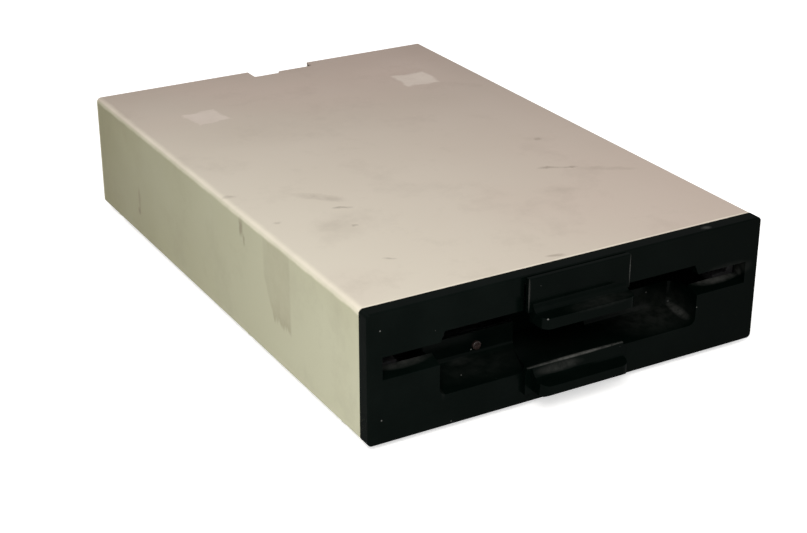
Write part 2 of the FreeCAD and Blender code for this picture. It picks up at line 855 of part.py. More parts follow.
def latch_lever():
    part = body("LatchLever")
    skin = [("skin_front", "tab_top"), ("skin_back", "tab_top"), ("skin_back", "skin_top"),
            ("skin_front", "skin_top")]
    pad(part, "YZ_Plane", both_sides("skin_half"), skin)
    tab = rectangle(("tab_front", "skin_back"), ("tab_bottom", "tab_top"))
    pad(part, "YZ_Plane", both_sides("tab_half"), tab)
    face = 0 - size("bezel_thickness") - size("skin_proud")
    round_edges(part, "tab_sweep",
                lambda edge: runs_along(edge, "X") and near(edge.BoundBox.YMin, face)
                and near(edge.BoundBox.ZMin, size("hood_top")) and near(edge.CenterOfMass.x, 0))
    nose = 0 - size("bezel_thickness") - size("tab_reach")
    round_edges(part, "tab_corner",
                lambda edge: runs_along(edge, "Z") and near(edge.BoundBox.YMin, nose))
    top = size("case_height") - size("skin_gap")
    round_edges(part, "skin_round",
                lambda edge: runs_along(edge, "X") and near(edge.BoundBox.YMin, face)
                and near(edge.BoundBox.ZMin, top))
    web = [("skin_back", "tab_bottom"), ("skin_back", "lever_height + web_rise"),
           ("lever_back", "lever_height + lever_hub_radius - hub_flat"),
           ("lever_back + lever_hub_radius - hub_flat", "lever_height"),
           ("lever_back", "lever_height - lever_hub_radius"), ("skin_back + web_foot", "tab_bottom")]
    pad(part, "YZ_Plane", both_sides("web_half"), web)
    hub = [("lever_back", "lever_height", "lever_hub_radius")]
    pad(part, "YZ_Plane", both_sides("web_half"), circles=hub)
    half = "cam_arm_thick / 2"
    up = " + " + half + " * sin(cam_angle)"
    down = " - " + half + " * sin(cam_angle)"
    over = " + " + half + " * cos(cam_angle)"
    under = " - " + half + " * cos(cam_angle)"
    arm = [("lever_back" + up, "lever_height" + over), ("cam_y" + up, "cam_z" + over),
           ("cam_y" + down, "cam_z" + under), ("lever_back" + down, "lever_height" + under)]
    outer = "web_half - cam_arm_inset"
    inner = outer + " - cam_arm_thick"
    pad(part, "YZ_Plane", (inner, outer), arm)
    pad(part, "YZ_Plane", (negative(outer), negative(inner)), arm)
    pad(part, "YZ_Plane", both_sides(outer), circles=[("cam_y", "cam_z", "cam_radius")])
    bore = [("lever_back", "lever_height", "lever_shaft_radius + running_gap")]
    pocket(part, "YZ_Plane", both_sides("web_half"), circles=bore)
    return node(part, "latch_lever")


def lever_fittings():
    shaft = cylinder("LeverShaft", "lever_shaft_radius", "2 * ear_outer",
                     ("0 - ear_outer", "lever_back", "lever_height"), ALONG_X)
    node(group("LeverShaftNode", [shaft]), "lever_shaft")
    spring = coil("LeverSpring", "lever_shaft_radius + wire", "ear_inner - web_half - 2 * spring_gap",
                  ("web_half + spring_gap + wire / 2", "lever_back", "lever_height"), ALONG_X)
    node(group("LeverSpringNode", [spring]), "lever_spring")


def in_use_lamp():
    front = "recess_back - lamp_proud"
    stem = cylinder("LampStem", "lamp_radius", "lamp_length",
                    ("0 - lamp_x", front, "lamp_height"), ALONG_Y)
    rim = cylinder("LampRim", "lamp_radius + lamp_rim", "lamp_rim_thick",
                   ("0 - lamp_x", "recess_wall_back", "lamp_height"), ALONG_Y)
    node(fuse("InUseLamp", [stem, rim]), "in_use_lamp")
    block = box("LampBlock", ("0 - lamp_x - lamp_block_half", "lamp_block_half - lamp_x"),
                ("recess_wall_back", "recess_wall_back + lamp_block_depth"),
                ("lamp_height - lamp_block_drop", "lamp_height + lamp_block_drop"))
    seat = cylinder("LampSeat", "lamp_radius + lamp_rim", "lamp_rim_thick",
                    ("0 - lamp_x", "recess_wall_back", "lamp_height"), ALONG_Y)
    well = cylinder("LampWell", "lamp_radius", "lamp_length",
                    ("0 - lamp_x", front, "lamp_height"), ALONG_Y)
    node(cut("LampHolder", block, [seat, well]), "lamp_holder")


# Chassis

def chassis_frame():
    walls = mirrored_boxes("SideWall", ("wall_inner", "chassis_half"), ("0", "chassis_length"),
                           ("wall_bottom", "wall_top"))
    deck = box("Deck", both_sides("wall_inner"), ("deck_front", "deck_back"), ("deck_bottom", "deck_top"))
    rear = box("CrossWall", both_sides("wall_inner"), ("deck_back - cross_wall", "deck_back"),
               ("deck_top", "deck_top + cross_wall_height"))
    lugs = mirrored_boxes("Lug", ("wall_inner - lug_width", "wall_inner"), ("0", "lug_thickness"),
                          ("bezel_screw_height - lug_height / 2", "wall_top"))
    ledges = mirrored_boxes("Ledge", ("wall_inner - ledge_width", "wall_inner"),
                            ("ledge_front", "ledge_back"), ("guide_top", "bridge_bottom"))
    pads = []
    for row, y in (("Front", "guide_front + front_pad_inset"), ("Rear", "guide_back - rear_pad_inset")):
        pads += mirrored_boxes("Pad" + row, ("wall_inner - pad_size", "wall_inner"), (y, y + " + pad_size"),
                               ("deck_top", "guide_floor - guide_thickness"))
    post = cylinder("BearingPost", "bearing_post_radius", "bearing_post_top - bearing_post_bottom",
                    ("0", "spindle_back", "bearing_post_bottom"))
    seats = []
    for row, y in (("Front", "rod_front"), ("Rear", "deck_back - rod_seat")):
        seats += mirrored_boxes("RodSeat" + row, ("rod_half_spacing - rod_radius - rod_seat_wall",
                                                  "rod_half_spacing + rod_radius + rod_seat_wall"),
                                (y, y + " + rod_seat"),
                                ("deck_top", "rod_height + rod_radius + rod_seat_rise"))
    bosses = []
    holes = []
    for number, (x, y) in enumerate(mount_screw_places(), start=1):
        bosses.append(cylinder("MountBoss%d" % number, "boss_radius", "deck_top - pan_top",
                               (x, y, "pan_top")))
        holes.append(cylinder("MountHole%d" % number, "screw_radius", "mount_screw_length - pan_top",
                              (x, y, "pan_top")))
    for number, (x, y) in enumerate(motor_screw_places(), start=1):
        bosses.append(cylinder("MotorBoss%d" % number, "standoff_radius", "deck_bottom - motor_board_top",
                               (x, y, "motor_board_top")))
        holes.append(cylinder("MotorHole%d" % number, "screw_radius", "deck_top - motor_board_top",
                              (x, y, "motor_board_top")))
    for number, (x, y) in enumerate(logic_screw_places(), start=1):
        bosses.append(cylinder("LogicBoss%d" % number, "standoff_radius", "deck_bottom - logic_board_top",
                               (x, y, "logic_board_top")))
        holes.append(cylinder("LogicHole%d" % number, "screw_radius", "deck_top - logic_board_top",
                              (x, y, "logic_board_top")))
    holes.append(cylinder("BearingBore", "bearing_radius", "bearing_post_top",
                          ("0", "spindle_back", "0")))
    holes.append(cylinder("StepperOpening", "capstan_radius + stepper_opening_gap",
                          "deck_thickness + 2 * cut_margin",
                          ("0 - stepper_x", "stepper_back", "deck_bottom - cut_margin")))
    for side, x in (("Right", "rod_half_spacing"), ("Left", "0 - rod_half_spacing")):
        holes.append(cylinder("RodBore" + side, "rod_radius", "rod_back - rod_front",
                              (x, "rod_front", "rod_height"), ALONG_Y))
        lug_x = "bezel_screw_x" if side == "Right" else "0 - bezel_screw_x"
        holes.append(cylinder("LugHole" + side, "screw_radius", "lug_thickness",
                              (lug_x, "0", "bezel_screw_height"), ALONG_Y))
    for number, (x, y) in enumerate(stepper_screw_places(), start=1):
        holes.append(cylinder("StepperHole%d" % number, "screw_radius", "deck_thickness",
                              (x, y, "deck_bottom")))
    for number, (x, y) in enumerate(bridge_screw_places(), start=1):
        holes.append(cylinder("LedgeHole%d" % number, "screw_radius", "ledge_thickness",
                              (x, y, "guide_top")))
    holes.append(box("HeaderRelief", ("header_left - header_relief", "header_right + header_relief"),
                     ("header_front - header_relief", "header_back + header_relief"),
                     ("logic_board_top", "logic_board_top + header_height + header_relief")))
    frame = fuse("ChassisSolid", walls + [deck, rear, post] + lugs + ledges + pads + seats + bosses)
    return node(cut("ChassisFrame", frame, holes), "chassis_frame")


def motor_screw_places():
    places = []
    for x in ("motor_screw_half", "0 - motor_screw_half"):
        for y in ("spindle_back - motor_screw_reach", "spindle_back + motor_screw_reach"):
            places.append((x, y))
    return places


def logic_screw_places():
    left = "logic_screw_inset - logic_board_left"
    right = "logic_board_right - logic_screw_inset"
    front = "logic_board_front + logic_screw_inset"
    back = "min(deck_back; header_front) - logic_screw_edge"
    return [(left, front), (right, front), (left, back), (right, back)]


def stepper_screw_places():
    return [("0 - stepper_x", "stepper_back - stepper_screw_circle"),
            ("0 - stepper_x", "stepper_back + stepper_screw_circle")]


def bridge_screw_places():
    places = []
    for x in ("wall_inner - ledge_width / 2", "ledge_width / 2 - wall_inner"):
        for y in ("bridge_front + bridge_screw_inset", "bridge_back - bridge_screw_inset"):
            places.append((x, y))
    return places


def disk_guide(label, side):
    """One moulded rail with the shelf that carries an edge of the disk."""
    part = body("Guide" + label[-5:].strip("_").title())
    inner = "disk_space_half + guide_gap"
    outline = [(inner + " - guide_shelf", "guide_floor - guide_thickness"),
               ("wall_inner", "guide_floor - guide_thickness"), ("wall_inner", "guide_top"),
               (inner, "guide_top"), (inner, "guide_floor"), (inner + " - guide_shelf", "guide_floor")]
    if side < 0:
        outline = [(negative(x), z) for x, z in reversed(outline)]
    pad(part, "XZ_Plane", ("guide_front", "guide_back"), outline)
    return node(part, label)


# Disk clamp: drawn about its pivot with the arm level, then swung up to where it rests when open

def on_clamp(thing, label):
    thing.Placement.Rotation = FreeCAD.Rotation(FreeCAD.Vector(1, 0, 0), 10)
    bind(thing, "Placement.Rotation.Angle", "clamp_swing")
    return node(thing, label, "0", "clamp_back", "clamp_height")


def strip(points, thickness):
    """The side outline of a bent sheet from its lower line."""
    lower = list(points)
    upper = [(y, z + " + " + thickness) for y, z in reversed(points)]
    return lower + upper


def clamp_arm():
    part = body("ClampArm")
    front = "0 - arm_crown_half"
    crown = strip([(front, "arm_crown"), ("arm_crown_half", "arm_crown")], "arm_sheet")
    pad(part, "YZ_Plane", both_sides("arm_half"), crown)
    tongue = strip([("0 - tongue_front", "tongue_rise"), ("0 - tongue_back", "tongue_rise"),
                    (front, "arm_crown")], "arm_sheet")
    pad(part, "YZ_Plane", both_sides("tongue_half"), tongue)
    tail = strip([("arm_crown_half", "arm_crown"), ("arm_foot", "0 - arm_drop"),
                  ("arm_tail", "0 - arm_drop")], "arm_sheet")
    pad(part, "YZ_Plane", both_sides("arm_tail_half"), tail)
    ear = rectangle(("0 - arm_ear_height / 2", "arm_ear_height / 2"),
                    ("0 - clamp_shaft_radius - arm_ear_drop", "arm_crown"))
    pad(part, "YZ_Plane", ("arm_half - arm_sheet", "arm_half"), ear)
    pad(part, "YZ_Plane", ("0 - arm_half", "arm_sheet - arm_half"), ear)
    pivot = [("0", "0", "clamp_shaft_radius + running_gap")]
    pocket(part, "YZ_Plane", both_sides("arm_half"), circles=pivot)
    window = rectangle(both_sides("spring_window_half"), both_sides("spring_window_reach"))
    pocket(part, "XY_Plane", ("arm_crown", "arm_crown + arm_sheet"), window)
    stem = [("0", "clamp_hub_reach", "stem_radius + running_gap")]
    pocket(part, "XY_Plane", ("0 - arm_drop", "arm_sheet - arm_drop"), circles=stem)
    return on_clamp(part, "clamp_arm")


def clamp_hub():
    part = body("ClampHub")
    top = "arm_sheet - arm_drop + 2 * clip_thickness + clip_gap"
    seat = "0 - clamp_flange_drop"
    outline = [("0", seat + " - cone_drop"), ("cone_tip_radius", seat + " - cone_drop"),
               ("cone_radius", seat), ("clamp_flange_radius", seat),
               ("clamp_flange_radius", seat + " + clamp_flange"), ("stem_radius", seat + " + clamp_flange"),
               ("stem_radius", top), ("0", top)]
    revolve(part, outline, "clamp_hub_reach")
    on_clamp(part, "clamp_hub")
    start = "arm_sheet - arm_drop + clip_gap"
    clip = ring("HubClip", "stem_radius", "clip_radius", "clip_thickness", ("0", "clamp_hub_reach", start))
    on_clamp(group("HubClipNode", [clip]), "clamp_hub_clip")
    gap = "clamp_flange_drop - clamp_flange - arm_drop"
    spring = coil("HubSpring", "stem_radius + hub_spring_room", gap + " - 2 * hub_spring_gap",
                  ("0", "clamp_hub_reach", seat + " + clamp_flange + hub_spring_gap + wire / 2"))
    on_clamp(group("HubSpringNode", [spring]), "clamp_hub_spring")


def clamp_bridge():
    part = body("ClampBridge")
    plate = rectangle(both_sides("wall_inner"), ("bridge_front", "bridge_back"))
    pad(part, "XY_Plane", ("bridge_bottom", "bridge_top"), plate)
    ear = rectangle(("clamp_back - bridge_ear_half", "clamp_back + bridge_ear_half"),
                    ("bridge_bottom", "bridge_top + bridge_ear_height"))
    pad(part, "YZ_Plane", ("bridge_ear_inner", "bridge_ear_outer"), ear)
    pad(part, "YZ_Plane", ("0 - bridge_ear_outer", "0 - bridge_ear_inner"), ear)
    pocket(part, "YZ_Plane", both_sides("bridge_ear_outer"),
           circles=[("clamp_back", "clamp_height", "clamp_shaft_radius")])
    holes = [(x, y, "screw_radius") for x, y in bridge_screw_places()]
    pocket(part, "XY_Plane", ("bridge_bottom", "bridge_top"), circles=holes)
    node(part, "clamp_bridge")
    shaft = cylinder("ClampShaft", "clamp_shaft_radius", "2 * bridge_ear_outer",
                     ("0 - bridge_ear_outer", "clamp_back", "clamp_height"), ALONG_X)
    node(group("ClampShaftNode", [shaft]), "clamp_pivot_shaft")
    spring = coil("ClampSpring", "clamp_shaft_radius + wire", "clamp_spring_length",
                  ("0 - clamp_spring_length / 2", "clamp_back", "clamp_height"), ALONG_X)
    node(group("ClampSpringNode", [spring]), "clamp_spring")
    downwards = FreeCAD.Rotation(FreeCAD.Vector(1, 0, 0), 180)
    seats = [(x, y, "bridge_top") for x, y in bridge_screw_places()]
    screws("BridgeScrew", "bridge_screws", "bridge_plate + ledge_thickness", seats, downwards)


# Spindle motor

def turned(name, label, outline, x="0", y="0", z="0"):
    part = body(name)
    revolve(part, outline)
    return node(part, label, x, y, z)


def spindle():
    outline = [("shaft_radius", "spindle_bottom"), ("clamp_flange_radius", "spindle_bottom"),
               ("clamp_flange_radius", "spindle_rim_top"), ("spindle_cup_radius", "spindle_rim_top"),
               ("spindle_cup_radius", "spindle_cup_floor"), ("shaft_radius", "spindle_cup_floor")]
    turned("SpindleHub", "spindle_hub", outline, y="spindle_back")
    shaft = [("0", "rotor_bottom"), ("shaft_radius", "rotor_bottom"),
             ("shaft_radius", "spindle_cup_floor"), ("0", "spindle_cup_floor")]
    turned("SpindleShaft", "spindle_shaft", shaft, y="spindle_back")
    bearing("UpperBearing", "upper_bearing", "bearing_post_top - bearing_width")
    bearing("LowerBearing", "lower_bearing", "bearing_post_bottom")


def bearing(name, label, bottom):
    """A ball race drawn as one ring with a shallow groove between its races on each face."""
    inner = "shaft_radius + running_gap"
    first = "shaft_radius + race_width"
    last = "bearing_radius - race_width"
    top = "bearing_width"
    outline = [(inner, "0"), (first, "0"), (first, "race_groove"), (last, "race_groove"), (last, "0"),
               ("bearing_radius", "0"), ("bearing_radius", top), (last, top), (last, top + " - race_groove"),
               (first, top + " - race_groove"), (first, top), (inner, top)]
    turned(name, label, outline, y="spindle_back", z=bottom)


def spindle_motor():
    top = "rotor_bottom + rotor_height"
    rotor = [("shaft_radius", "rotor_bottom"), ("rotor_radius", "rotor_bottom"), ("rotor_radius", top),
             ("rotor_inner", top), ("rotor_inner", "rotor_floor"), ("rotor_hub_radius", "rotor_floor"),
             ("rotor_hub_radius", top), ("shaft_radius", top)]
    turned("MotorRotor", "motor_rotor", rotor, y="spindle_back")
    high = "rotor_floor + magnet_thickness"
    magnet = [("magnet_inner", "rotor_floor"), ("rotor_inner", "rotor_floor"), ("rotor_inner", high),
              ("magnet_inner", high)]
    turned("RotorMagnet", "rotor_magnet", magnet, y="spindle_back")
    coils = []
    for number in range(int(size("coil_count"))):
        angle = "%d * 360 / coil_count + 30" % number
        place = ("coil_circle * cos(" + angle + ")", "spindle_back + coil_circle * sin(" + angle + ")",
                 "motor_board_bottom - coil_thickness")
        coils.append(ring("MotorCoil%d" % number, "coil_hole", "coil_radius", "coil_thickness", place))
    node(group("MotorCoils", coils), "motor_coils")
    board = body("MotorBoard")
    outline = rectangle(both_sides("motor_board_half"),
                        ("spindle_back - motor_board_reach", "spindle_back + motor_board_reach"))
    pad(board, "XY_Plane", ("motor_board_bottom", "motor_board_top"), outline)
    holes = [(x, y, "screw_radius") for x, y in motor_screw_places()]
    holes.append(("0", "spindle_back", "bearing_post_radius + post_gap"))
    pocket(board, "XY_Plane", ("motor_board_bottom", "motor_board_top"), circles=holes)
    node(board, "motor_board")
    seats = [(x, y, "motor_board_bottom") for x, y in motor_screw_places()]
    screws("MotorScrew", "motor_board_screws", "deck_bottom - motor_board_bottom", seats)
    near_side = "rotor_radius + driver_chip_gap"
    chip = box("DriverChip", (near_side, near_side + " + driver_chip_width"),
               ("spindle_back - driver_chip_half", "spindle_back + driver_chip_half"),
               ("motor_board_bottom - chip_height", "motor_board_bottom"))
    node(group("DriverChipNode", [chip]), "motor_driver_chip")


# Heads and their positioner

def carriage():
    part = body("Carriage")
    front = "head_back - carriage_front"
    back = "head_back + carriage_back"
    bed = rectangle(both_sides("carriage_half"), (front, back))
    pad(part, "XY_Plane", ("carriage_bottom", "carriage_top"), bed)
    tower = rectangle(("arm_pin_y - tower_half_depth", "arm_pin_y + tower_half_depth"),
                      ("carriage_top", "tower_height"))
    pad(part, "YZ_Plane", ("tower_inner", "tower_outer"), tower)
    pad(part, "YZ_Plane", ("0 - tower_outer", "0 - tower_inner"), tower)
    wing = rectangle(("band_x + band_thickness", "0 - carriage_half"),
                     ("band_post_front", "band_post_back + band_post"))
    pad(part, "XY_Plane", ("carriage_bottom", "carriage_top"), wing)
    post = ("band_x + band_thickness - band_post_proud", "band_x + band_thickness")
    for start in ("band_post_front", "band_post_back"):
        pad(part, "XY_Plane", ("carriage_bottom", "carriage_top"),
            rectangle(post, (start, start + " + band_post")))
    finger = rectangle(("carriage_half", "flag_x + flag_thickness / 2"),
                       ("flag_front", "flag_front + flag_finger"))
    pad(part, "XY_Plane", ("rod_height", "carriage_top"), finger)
    flag = rectangle(("flag_x - flag_thickness / 2", "flag_x + flag_thickness / 2"),
                     ("flag_front", "flag_front + flag_length"))
    pad(part, "XY_Plane", ("rod_height", "carriage_top + flag_rise"), flag)
    bores = [("0 - rod_half_spacing", "rod_height", "rod_radius + running_gap"),
             ("rod_half_spacing", "rod_height", "rod_radius + running_gap")]
    pocket(part, "XZ_Plane", (front, back), circles=bores)
    seat = rectangle(both_sides("head_half_width"),
                     ("head_back - head_half_depth", "head_back + head_half_depth"))
    pocket(part, "XY_Plane", ("lower_head_top - lower_head_height", "carriage_top"), seat)
    pocket(part, "YZ_Plane", both_sides("tower_outer"),
           circles=[("arm_pin_y", "arm_pin_height", "arm_pin_radius")])
    return node(part, "carriage")


def heads():
    depth = ("head_back - head_half_depth", "head_back + head_half_depth")
    lower = box("LowerHead", both_sides("head_half_width"), depth,
                ("lower_head_top - lower_head_height", "lower_head_top"))
    node(group("LowerHeadNode", [lower]), "lower_head")
    bottom = "arm_pin_height - upper_head_drop"
    upper = box("UpperHead", both_sides("head_half_width"), depth, (bottom, bottom + " + upper_head_height"))
    node(group("UpperHeadNode", [upper]), "upper_head")
    part = body("HeadArm")
    under = bottom + " + upper_head_height"
    plate = rectangle(("head_back - head_half_depth - head_arm_nose", "arm_pin_y"),
                      (under, under + " + head_arm_thickness"))
    pad(part, "YZ_Plane", both_sides("head_arm_half"), plate)
    barrel = [("arm_pin_y", "arm_pin_height", "head_arm_barrel")]
    pad(part, "YZ_Plane", both_sides("head_arm_half"), circles=barrel)
    pocket(part, "YZ_Plane", both_sides("head_arm_half"),
           circles=[("arm_pin_y", "arm_pin_height", "arm_pin_radius + running_gap")])
    node(part, "head_arm")
    pin = cylinder("ArmPin", "arm_pin_radius", "2 * tower_outer",
                   ("0 - tower_outer", "arm_pin_y", "arm_pin_height"), ALONG_X)
    node(group("ArmPinNode", [pin]), "head_arm_pin")
    spring = coil("ArmSpring", "arm_pin_radius + wire", "tower_inner - head_arm_half - 2 * spring_gap",
                  ("head_arm_half + spring_gap + wire / 2", "arm_pin_y", "arm_pin_height"), ALONG_X)
    node(group("ArmSpringNode", [spring]), "head_arm_spring")


def guide_rods():
    rods = []
    for side, x in (("Right", "rod_half_spacing"), ("Left", "0 - rod_half_spacing")):
        rods.append(cylinder("Rod" + side, "rod_radius", "rod_back - rod_front",
                             (x, "rod_front", "rod_height"), ALONG_Y))
    return node(group("GuideRods", rods), "guide_rods")


def stepper():
    part = body("StepperBody")
    bottom = "deck_bottom - stepper_height"
    pad(part, "XY_Plane", (bottom, "deck_bottom"), circles=[("0", "0", "stepper_radius")])
    for way in ("stepper_screw_circle", "0 - stepper_screw_circle"):
        pad(part, "XY_Plane", ("deck_bottom - stepper_ear", "deck_bottom"),
            circles=[("0", way, "stepper_ear_radius")])
    lowest = size("deck_bottom") - size("stepper_height")
    round_edges(part, "stepper_round", lambda edge: near(edge.BoundBox.ZMax, lowest))
    holes = [("0", "stepper_screw_circle", "screw_radius"), ("0", "0 - stepper_screw_circle", "screw_radius")]
    pocket(part, "XY_Plane", ("deck_bottom - stepper_ear", "deck_bottom"), circles=holes)
    shaft_hole = [("0", "0", "stepper_shaft_radius + running_gap")]
    pocket(part, "XY_Plane", (bottom, "deck_bottom"), circles=shaft_hole)
    node(part, "stepper_body", "0 - stepper_x", "stepper_back")
    top = "capstan_bottom + capstan_height"
    tip = top + " + shaft_proud"
    shaft = [("0", bottom), ("stepper_shaft_radius", bottom), ("stepper_shaft_radius", tip), ("0", tip)]
    turned("StepperShaft", "stepper_shaft", shaft, "0 - stepper_x", "stepper_back")
    drum = "capstan_radius - band_thickness"
    hollow = top + " - capstan_hollow"
    capstan = [("stepper_shaft_radius", "capstan_bottom"), (drum, "capstan_bottom"), (drum, top),
               (drum + " - capstan_wall", top), (drum + " - capstan_wall", hollow),
               ("stepper_shaft_radius + capstan_wall", hollow),
               ("stepper_shaft_radius + capstan_wall", top), ("stepper_shaft_radius", top)]
    turned("Capstan", "capstan", capstan, "0 - stepper_x", "stepper_back")
    wrap = [(drum, "band_bottom"), ("capstan_radius", "band_bottom"),
            ("capstan_radius", "band_bottom + band_width"), (drum, "band_bottom + band_width")]
    turned("CapstanBand", "capstan_band", wrap, "0 - stepper_x", "stepper_back")
    band = box("CarriageBand", ("band_x", "band_x + band_thickness"),
               ("band_post_front + band_post", "band_post_back"),
               ("band_bottom", "band_bottom + band_width"))
    node(group("CarriageBandNode", [band]), "carriage_band")
    downwards = FreeCAD.Rotation(FreeCAD.Vector(1, 0, 0), 180)
    seats = [(x, y, "deck_top") for x, y in stepper_screw_places()]
    screws("StepperScrew", "stepper_screws", "deck_thickness + stepper_ear", seats, downwards)


# Sensors and electronics

def track_zero_sensor():
    left = "flag_x - sensor_slot / 2 - sensor_wall"
    right = "flag_x + sensor_slot / 2 + sensor_wall"
    front = "flag_front + flag_length - flag_overlap"
    block = box("ZeroBlock", (left, right), (front, front + " + sensor_length"),
                ("deck_top", "deck_top + sensor_height"))
    slot = box("ZeroSlot", ("flag_x - sensor_slot / 2", "flag_x + sensor_slot / 2"),
               (front, front + " + sensor_length"), ("deck_top + sensor_base", "deck_top + sensor_height"))
    return node(cut("ZeroSensor", block, [slot]), "track_zero_sensor")


def disk_sensors():
    place = "index_radius * cos(45)"
    across = (place + " - disk_sensor_half", place + " + disk_sensor_half")
    index = box("IndexSensor", across,
                ("spindle_back - " + place + " - disk_sensor_reach",
                 "spindle_back - " + place + " + disk_sensor_reach"),
                ("deck_top", "lower_head_top"))
    node(group("IndexSensorNode", [index]), "index_sensor")
    left = "guide_shelf - disk_space_half"
    middle = "guide_front + protect_sensor_inset"
    protect = box("ProtectSensor", (left, left + " + 2 * disk_sensor_half"),
                  (middle + " - disk_sensor_reach", middle + " + disk_sensor_reach"),
                  ("deck_top", "lower_head_top"))
    node(group("ProtectSensorNode", [protect]), "write_protect_sensor")


def logic_board():
    part = body("LogicBoard")
    outline = rectangle(("0 - logic_board_left", "logic_board_right"),
                        ("logic_board_front", "logic_board_back"))
    pad(part, "XY_Plane", ("logic_board_bottom", "logic_board_top"), outline)
    holes = [(x, y, "screw_radius") for x, y in logic_screw_places()]
    pocket(part, "XY_Plane", ("logic_board_bottom", "logic_board_top"), circles=holes)
    node(part, "logic_board")
    seats = [(x, y, "logic_board_bottom") for x, y in logic_screw_places()]
    screws("LogicScrew", "logic_board_screws", "deck_bottom - logic_board_bottom", seats)
    chips = []
    for number, (x, y, width, length) in enumerate(chip_places(), start=1):
        chips.append(box("Chip%d" % number, (x, x + " + " + width), (y, y + " + " + length),
                         ("logic_board_top", "logic_board_top + chip_height")))
    node(group("LogicChips", chips), "logic_chips")
    cans = []
    x, _, width, _ = chip_places()[-1]
    middle = "(" + x + " + " + width + " + logic_board_right) / 2 - capacitor_shift"
    pair = (middle + " + capacitor_step / 2", middle + " - capacitor_step / 2")
    for number, x in enumerate(pair, start=1):
        cans.append(cylinder("Capacitor%d" % number, "capacitor_radius", "capacitor_height",
                             (x, "logic_board_front + capacitor_row", "logic_board_top")))
    node(group("Capacitors", cans), "capacitors")


def chip_places():
    """Corner, width and length of each packaged circuit on the logic board."""
    first = "0 - logic_board_left + chip_left"
    second = first + " + chip_width + chip_gap"
    third = second + " + large_chip_width + chip_gap"
    fourth = third + " + chip_width + chip_gap"
    near_row = "logic_board_front + chip_front"
    far_row = near_row + " + chip_length + chip_gap"
    return [(first, near_row, "chip_width", "chip_length"),
            (second, near_row, "large_chip_width", "large_chip_length"),
            (third, near_row, "chip_width", "chip_length"),
            (fourth, near_row, "chip_width", "chip_length"),
            (first, far_row, "chip_width", "chip_width"),
            (third, far_row, "chip_width", "chip_length")]


def ribbon_header():
    block = box("HeaderBlock", ("header_left", "header_right"), ("header_front", "header_back"),
                ("logic_board_top", "logic_board_top + header_height"))
    well = box("HeaderWell", ("header_left + header_wall", "header_right - header_wall"),
               ("header_front + header_floor", "header_back"),
               ("logic_board_top + header_wall", "logic_board_top + header_height - header_wall"))
    node(cut("RibbonHeader", block, [well]), "ribbon_header")
    pins = []
    for row in (-0.5, 0.5):
        for column in range(int(size("pin_columns"))):
            x = "header_middle + (%d - (pin_columns - 1) / 2) * pin_spacing - pin_size / 2" % column
            z = "logic_board_top + header_height / 2 + (%s) * pin_spacing - pin_size / 2" % row
            along = ("header_front + header_floor", "header_back - pin_inset")
            name = "Pin%d_%d" % (row + 1, column)
            pins.append(box(name, (x, x + " + pin_size"), along, (z, z + " + pin_size")))
    node(group("HeaderPins", pins), "header_pins")


def build():
    fill_sheet()
    case_cover()
    base_pan()
    rubber_feet()
    case_fasteners()
    front_bezel()
    bezel_screws()
    latch_lever()
    lever_fittings()
    in_use_lamp()
    chassis_frame()
    disk_guide("disk_guide_left", -1)
    disk_guide("disk_guide_right", 1)
    clamp_bridge()
    clamp_arm()
    clamp_hub()
    spindle()
    spindle_motor()
    carriage()
    heads()
    guide_rods()
    stepper()
    track_zero_sensor()
    disk_sensors()
    logic_board()
    ribbon_header()
    doc.recompute()


def check():
    """Every object has to be sound, and every pocket has to remove something."""
    for thing in doc.Objects:
        if "Invalid" in thing.State or "Error" in thing.State:
            raise RuntimeError("%s (%s) failed: %s" % (thing.Name, thing.Label, thing.State))
        if thing.TypeId == "PartDesign::Pocket":
            before = thing.BaseFeature.Shape.Volume
            if thing.Shape.Volume > before - 0.01:
                raise RuntimeError(thing.Name + " removes nothing")
    for thing in nodes:
        if thing.Shape.isNull() or not thing.Shape.isValid():
            raise RuntimeError(thing.Label + " has no valid shape")


def write():
    os.makedirs("parts", exist_ok=True)
    for thing in nodes:
        thing.Shape.exportStep(os.path.join("parts", thing.Label + ".step"))
        bounds = thing.Shape.BoundBox
        print("%-24s %2d solids %8.0f mm3" % (thing.Label, len(thing.Shape.Solids), thing.Shape.Volume),
              "x %.1f..%.1f y %.1f..%.1f z %.1f..%.1f" % (bounds.XMin, bounds.XMax, bounds.YMin,
                                                         bounds.YMax, bounds.ZMin, bounds.ZMax))


build()
check()
write()
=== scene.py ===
import bpy
import json
import math
from mathutils import Matrix, Vector


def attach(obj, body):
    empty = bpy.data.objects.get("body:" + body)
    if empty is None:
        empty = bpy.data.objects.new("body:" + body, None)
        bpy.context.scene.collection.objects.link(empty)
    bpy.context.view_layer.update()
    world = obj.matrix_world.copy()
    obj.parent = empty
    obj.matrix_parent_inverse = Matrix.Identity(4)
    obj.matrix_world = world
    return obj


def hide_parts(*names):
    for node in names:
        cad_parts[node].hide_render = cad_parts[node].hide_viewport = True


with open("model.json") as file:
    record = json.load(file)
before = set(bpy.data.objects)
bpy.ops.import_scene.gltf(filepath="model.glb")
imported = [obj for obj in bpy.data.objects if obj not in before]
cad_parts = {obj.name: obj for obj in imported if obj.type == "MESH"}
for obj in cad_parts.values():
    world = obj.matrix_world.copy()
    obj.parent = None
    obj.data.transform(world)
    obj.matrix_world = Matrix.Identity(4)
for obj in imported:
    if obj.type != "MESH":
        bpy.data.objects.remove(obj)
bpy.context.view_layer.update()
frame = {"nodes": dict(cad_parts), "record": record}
nodes = frame["nodes"]

jointY = -0.10375    # where the moulded front meets the case
caseFloor = 0.002    # underside of the case, the height of the feet
caseDepth = 0.2215    # from the joint to the back wall
sideX = 75    # millimetres from the middle to either side of the case
roofZ = 45    # millimetres from the case's underside to its roof


def at(x, y, z):    # millimetres across, back from the joint and up from the case's underside
    return Vector((x / 1000, jointY + y / 1000, caseFloor + z / 1000))


